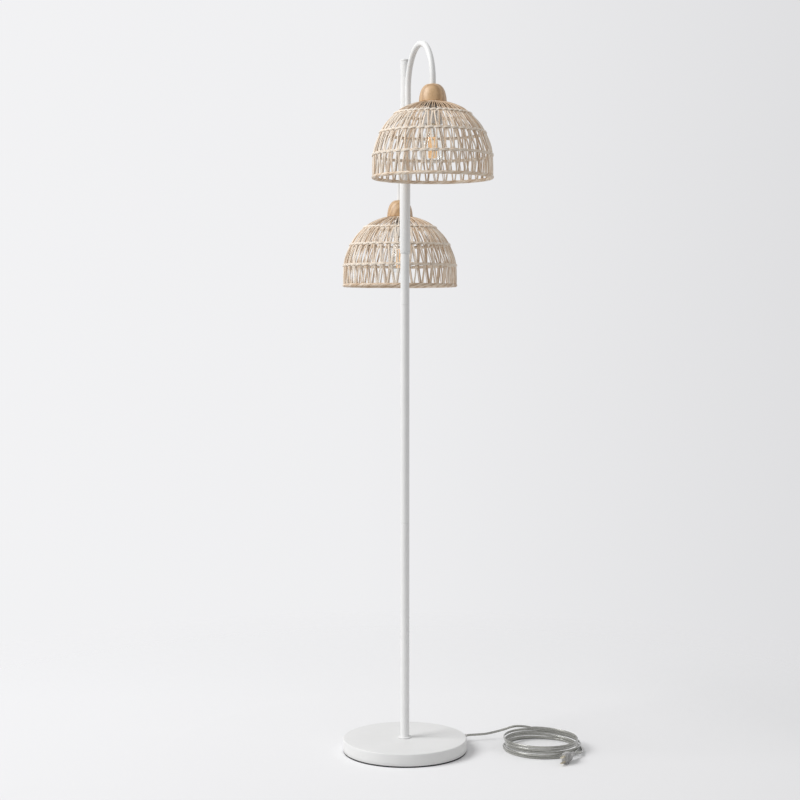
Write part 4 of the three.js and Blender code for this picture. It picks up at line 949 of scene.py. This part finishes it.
def head_place(head, girth=1.0, reach=ARM_REACH):
    """Takes points from the head's own axes, with its cap's underside at zero, to their place."""
    angle, height = HEADS[head]["angle"], HEADS[head]["height"]
    x, y, _ = level_direction(angle) * reach
    return lambda verts: placed(np.asarray(verts, float) * (girth, girth, 1), x, y, height, turn=angle)


def build_shade(head):
    """One shade and its rim; the head's seed fixes how their canes vary."""
    dice = random.Random(HEADS[head]["seed"])
    weave, rim = Bundle(), Bundle()
    for column in range(2 * NODES_ROUND):
        for which in (0, 1):
            stake(weave, column, which, dice)
    for level in range(3):
        hoop_weavers(weave, level, dice)
    collar_rings(weave, dice)
    rim_border(rim, dice)
    for bundle, name, node in ((weave, "weave", "shade"), (rim, "border", "shade_rim")):
        obj = bundle.build(f"{head}_shade_{name}", RATTAN, head_place(head, HEADS[head]["girth"]))
        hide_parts(f"{head}_{node}")
        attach(obj, f"{head}_head")


for head in HEADS:
    build_shade(head)

# ---------------------------------------------------------------- arms, caps and holders

LEG_REACH, FOOT_DROP, SPRING_RISE, ARCH_RISE, HANDLE = 17.1, 67.7, 44.3, 90.0, 0.5523
ARM_RADIUS = 6.5
BEAD_RADIUS, BEAD_REACH, BEAD_SIDE, BEAD_STEP = 1.15, 11.75, 3.25, 1.6


def bezier(points, steps):
    a, b, c, d = (np.array(p, float) for p in points)
    return cubic(a, d, 3 * (b - a), 3 * (d - c), steps)


def arm_line():
    """The arm's middle line from its foot over the arch and down into the cap."""
    middle, crown = (LEG_REACH + ARM_REACH) / 2, SPRING_RISE + ARCH_RISE
    side, rise = (ARM_REACH - LEG_REACH) / 2 * HANDLE, SPRING_RISE + ARCH_RISE * HANDLE
    line = [(LEG_REACH, 0, z) for z in np.linspace(-FOOT_DROP, SPRING_RISE, 8)[:-1]]
    line += bezier([
        (LEG_REACH, 0, SPRING_RISE), (LEG_REACH, 0, rise), (middle - side, 0, crown), (middle, 0, crown),
    ], 22)
    line += bezier([
        (middle, 0, crown), (middle + side, 0, crown), (ARM_REACH, 0, rise), (ARM_REACH, 0, SPRING_RISE),
    ], 22)
    line += [(ARM_REACH, 0, z) for z in np.linspace(SPRING_RISE, 8.3, 4)]
    return np.array(line, float)


def head_piece(head, name, parts, material, node, sharp=40, place=None, body="head"):
    """A piece of one head, made in that head's own axes."""
    place = place or head_place(head)
    solid_piece(f"{head}_{name}", parts, material, f"{head}_{body}", f"{head}_{node}", sharp, place)


def arm_piece(head):
    """Bent tube with a rounded lower end, its sleeve, and a weld bead along both sides of the leg."""
    line = arm_line()
    dome = [line[0] + np.array([0, 0, d]) for d in (0.0, 0.35, 1.1, 2.2)]
    points = np.concatenate([dome, line[1:]])
    scale = np.concatenate([[0.62, 0.84, 0.96, 1.0], np.ones(len(line) - 1)])
    sideways = np.tile([0.0, 1.0, 0.0], (len(points), 1))
    tube = swept(points, circle(ARM_RADIUS, 40), sideways, scale=scale)[:2]
    low, high = (s - HEADS[head]["height"] for s in HEADS[head]["sleeve"])
    sleeve = soften(band(SLEEVE_BORE, SLEEVE_OUTER, low, high), 0.15, 3, closed=True)
    parts = [tube, lathe(sleeve, 64, closed=True)]
    bead_low, bead_high = max(low, -FOOT_DROP) + 1.5, min(high, SPRING_RISE) - 1.5
    steps = int((bead_high - bead_low) / BEAD_STEP)
    z = np.linspace(bead_low, bead_high, steps)
    sizes = 1 + 0.10 * np.sin(np.arange(steps) * 2.1)
    sizes[0] = sizes[-1] = 0.4
    outward = np.tile([1.0, 0, 0], (steps, 1))
    for side in (-1, 1):
        bead = np.stack([np.full(steps, BEAD_REACH), np.full(steps, side * BEAD_SIDE), z], axis=1)
        parts.append(swept(bead, circle(BEAD_RADIUS, 8), outward, scale=sizes)[:2])
    place = head_place(head, reach=0)
    head_piece(head, "arm_tube", joined(parts), TUBE_WHITE_PAINTED_LIGHTER, "arm", sharp=50, place=place)


NIPPLE_BORE = 5.3
CAP_SHARES = [(1, 0.0), (0.975, 0.23), (0.91, 0.49), (0.8, 0.72), (0.66, 0.87), (0.5, 0.97), (0.36, 1)]
CAP_RADIUS, CAP_HEIGHT, CAP_WEB = 30, 38, 8
HOLDER_PROFILE = [
    (NIPPLE_BORE, -19.0), (14.8, -19.0), (14.8, -47.0), (19.4, -47.0), (20, -46.2), (20, -40.5),
    (19.3, -39.8), (19.3, -39.0), (20, -38.3), (20, -24.5), (19.3, -23.8), (19.3, -23.0), (20, -22.3),
    (20, -18.2), (19.2, -15.4), (16.4, -13.0), (11.5, -11.6), (9, -10.8), (9, -5.3), (NIPPLE_BORE, -5.3),
]
PLATE_PROFILE = band(NIPPLE_BORE, 28.0, -5.0, -3.0)
KNOB_PROFILE = [
    (0, 0.3), (2.5, 0.3), (2.5, 5.5), (6.3, 5.5), (6.5, 6.4),
    (5.6, 8.2), (5.2, 11.0), (5.2, 15.6), (4.6, 16.5), (0, 16.5),
]
KNOB_REACH, KNOB_HEIGHT = 14.8, -30
BULB_SHARES = [
    (0.483, 0), (0.53, 0.15), (0.7, 0.32), (0.92, 0.5), (1, 0.66),
    (0.92, 0.81), (0.65, 0.93), (0.3, 0.99), (0.0, 1.0),
]
BULB_RADIUS, BULB_LENGTH, BULB_NECK, GLASS_WALL = 30, 83.4, -47.9, 0.9
STEM_PROFILE = [
    (0, -73.9), (2.2, -73.9), (2.6, -72.6), (2.2, -70), (2.0, -62),
    (2.6, -56), (4.2, -51), (5, BULB_NECK), (0, BULB_NECK),
]
ROD_CIRCLE, ROD_RADIUS, ROD_LOW, ROD_HIGH = 8.3, 1.3, -116.6, -75.9
DISC_RADIUS, DISC_HALF, DISC_HEIGHTS = 9.6, 0.6, (-75.0, -117.5)
SHELL_END, THREAD_CREST, THREAD_ROOT, THREAD_PITCH = -47.6, 13.1, 12.2, 2.6


def fluted(depth, count, reaches):
    """A ripple for lathe: grooves round the part that reaches(r, z) picks out."""
    return lambda angle, r, z: -depth * (0.5 - 0.5 * math.cos(angle * count)) if reaches(r, z) else 0.0


def cap_piece(head):
    """Turned wooden cap, hollow above a web that the nipple goes through."""
    dome = catmull([(a * CAP_RADIUS, b * CAP_HEIGHT) for a, b in CAP_SHARES], 5)
    profile = [
        (NIPPLE_BORE, 0.0), (28.8, 0.0), (29.7, 0.35), *[tuple(p) for p in dome if p[1] > 0.9],
        (7.6, CAP_HEIGHT), (6.8, CAP_HEIGHT - 0.8), (6.8, CAP_WEB), (NIPPLE_BORE, CAP_WEB),
    ]
    head_piece(head, "wood_cap", lathe(profile, 96, closed=True), WOOD, "cap")


def holder_pieces(head):
    """Lamp holder with neck, shoulder, ribbed grip and plain skirt, its plate, and its turn switch."""
    ribs = fluted(0.35, 36, lambda r, z: r > 19.9 and -38.4 < z < -24.4)
    body = lathe(soften(HOLDER_PROFILE, 0.5, 2, closed=True), 144, closed=True, ripple=ribs)
    head_piece(head, "holder", body, HOLDER, "lamp_holder")
    plate = lathe(soften(PLATE_PROFILE, 0.4, 3, closed=True), 72, closed=True)
    # The plate's dark brown is painted shade under the cap.
    head_piece(head, "washer_plate", plate, PLATE_AS_PAINTED_SHADE, "shade_plate")
    flutes = fluted(0.45, 12, lambda r, z: z > 7.5 and r > 3)
    verts, faces = lathe(soften(KNOB_PROFILE, 0.35, 3), 96, ripple=flutes)
    verts = placed(verts, x=KNOB_REACH, z=KNOB_HEIGHT, lay=True)
    head_piece(head, "knob", (verts, faces), HOLDER, "switch_knob", body="switch")


def bulb_pieces(head):
    """Clear bulb: envelope, screw shell, glass stem, and amber rods between two discs."""
    shares = catmull(BULB_SHARES, 6)
    outer, inner = (
        [(max(0.0, a * (BULB_RADIUS - wall)), BULB_NECK - b * (BULB_LENGTH - wall)) for a, b in shares]
        for wall in (0, GLASS_WALL)
    )
    envelope = lathe([*outer[::-1], *inner], 72)
    head_piece(head, "bulb_envelope", envelope, GLASS, "bulb_glass", sharp=80)
    thread = [(0, SHELL_END), (THREAD_CREST, SHELL_END)]
    for i in range(7):
        thread += [(THREAD_CREST, -46.4 + i * THREAD_PITCH), (THREAD_ROOT, -45.1 + i * THREAD_PITCH)]
    thread += [(12.6, -26.5), (10, -24.2), (5, -21.2), (0, -21.2)]
    head_piece(head, "screw_shell", lathe(soften(thread, 0.6, 2), 64), BRASS, "bulb_base")
    stem = lathe(soften(STEM_PROFILE, 0.8, 3), 32)
    head_piece(head, "glass_stem", stem, GLASS, "bulb_stem")
    discs = [band(0, DISC_RADIUS, z - DISC_HALF, z + DISC_HALF) for z in DISC_HEIGHTS]
    parts = [lathe(soften(disc, 0.4, 2), 28) for disc in discs]
    verts, faces = lathe(soften(band(0, ROD_RADIUS, ROD_LOW, ROD_HIGH), 0.5, 3), 14)
    parts += [(placed(verts, x, y), faces) for x, y in circle(ROD_CIRCLE, 6)]
    head_piece(head, "glow_rods", joined(parts), AMBER, "filament")


for head in HEADS:
    arm_piece(head)
    cap_piece(head)
    holder_pieces(head)
    bulb_pieces(head)

# ---------------------------------------------------------------- CAD nodes that stay

KEPT = [
    (IRON, "base_weight"),
    (HOLDER, "terminal_block"),
    (ZINC, "base_washer base_nut base_stem joiner_lower joiner_upper pole_foot_insert"),
    (ZINC, "upper_nipple lower_nipple"),
    (BRASS, "upper_socket_contact lower_socket_contact"),
]
for material, names in KEPT:
    for name in names.split():
        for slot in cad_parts[name].material_slots:
            slot.material = material

# ---------------------------------------------------------------- stage and light

FLOOR_BOUNCE, FLOOR_FADE = (0.78, 0.78, 0.78), (0.55, 1.7)
FLOOR_RINGS = (0, 300, 1200, 3000, 6000)
WALL_SPAN, AMBIENT = 0.26, 0.44


def floor_material():
    """Pale floor that keeps the shadow near the lamp and fades into the background further off."""
    m = Nodes("floor")
    place = m.add("NewGeometry").outputs["Position"]
    parts = m.add("SeparateXYZ", {0: place}).outputs
    side = m.range(parts["X"], 0.0, 1.0, -0.9, 0.9)
    depth = m.range(parts["Y"], 0.948, 1.02, -0.75, 0.5)
    seen = m.ramp(side, [
        (0.0, (0.915, 0.915, 0.93)), (0.5, (0.938, 0.938, 0.95)), (1.0, (0.935, 0.935, 0.947)),
    ])
    seen = m.vector("MULTIPLY", seen, depth)[0]
    colour = m.mix(m.looked_at("Is Glossy Ray"), (*FLOOR_BOUNCE, 1), seen)
    diffuse = m.add("BsdfDiffuse", {"Color": colour}).outputs[0]
    far = m.vector("LENGTH", m.vector("MULTIPLY", place, (1, 1, 0))[0])["Value"]
    clear = m.add("BsdfTransparent").outputs[0]
    return m.surface(m.mix_shader(m.range(far, 0.0, 1.0, *FLOOR_FADE), diffuse, clear))


def studio_world():
    """Even white light; the camera, gloss and glass see a pale wall that darkens to the right."""
    w = Nodes("studio", "World")
    direction = w.add("TexCoord").outputs["Generated"]
    across = w.add("SeparateXYZ", {0: direction}).outputs["X"]
    wall = w.ramp(w.range(across, 0.0, 1.0, -WALL_SPAN, WALL_SPAN), [
        (0.0, (0.892, 0.892, 0.905)), (0.45, (0.862, 0.862, 0.875)), (1.0, (0.735, 0.735, 0.748)),
    ])
    seen = w.add("Background", {"Color": wall}).outputs[0]
    around = w.add("Background", {"Color": (1, 1, 1, 1), "Strength": AMBIENT}).outputs[0]
    looked_at = w.looked_at("Is Glossy Ray", "Is Transmission Ray")
    return w.surface(w.mix_shader(looked_at, around, seen))


floor = make_object("floor", *lathe([(r, 0) for r in FLOOR_RINGS], 64), floor_material(), smooth=False)

bpy.context.scene.world = studio_world()


def area_light(name, place, target, size, energy):
    """A square lamp of a size in metres that faces its target."""
    data = bpy.data.lights.new(name, "AREA")
    data.shape, data.size, data.energy = "SQUARE", size, energy
    light = bpy.data.objects.new(name, data)
    light.location = place
    x, y, z = np.array(target, float) - np.array(place, float)
    light.rotation_euler = (math.atan2(math.hypot(x, y), -z), 0, math.atan2(y, x) - math.pi / 2)
    bpy.context.scene.collection.objects.link(light)


area_light("key", (-5.5, -1.68, 5.62), (0, 0, 0.8), size=4.2, energy=448)
area_light("fill", (4.9, 0.8, 3.1), (0, 0, 0.9), size=3.4, energy=17)

bpy.context.scene.view_settings.view_transform = "Standard"
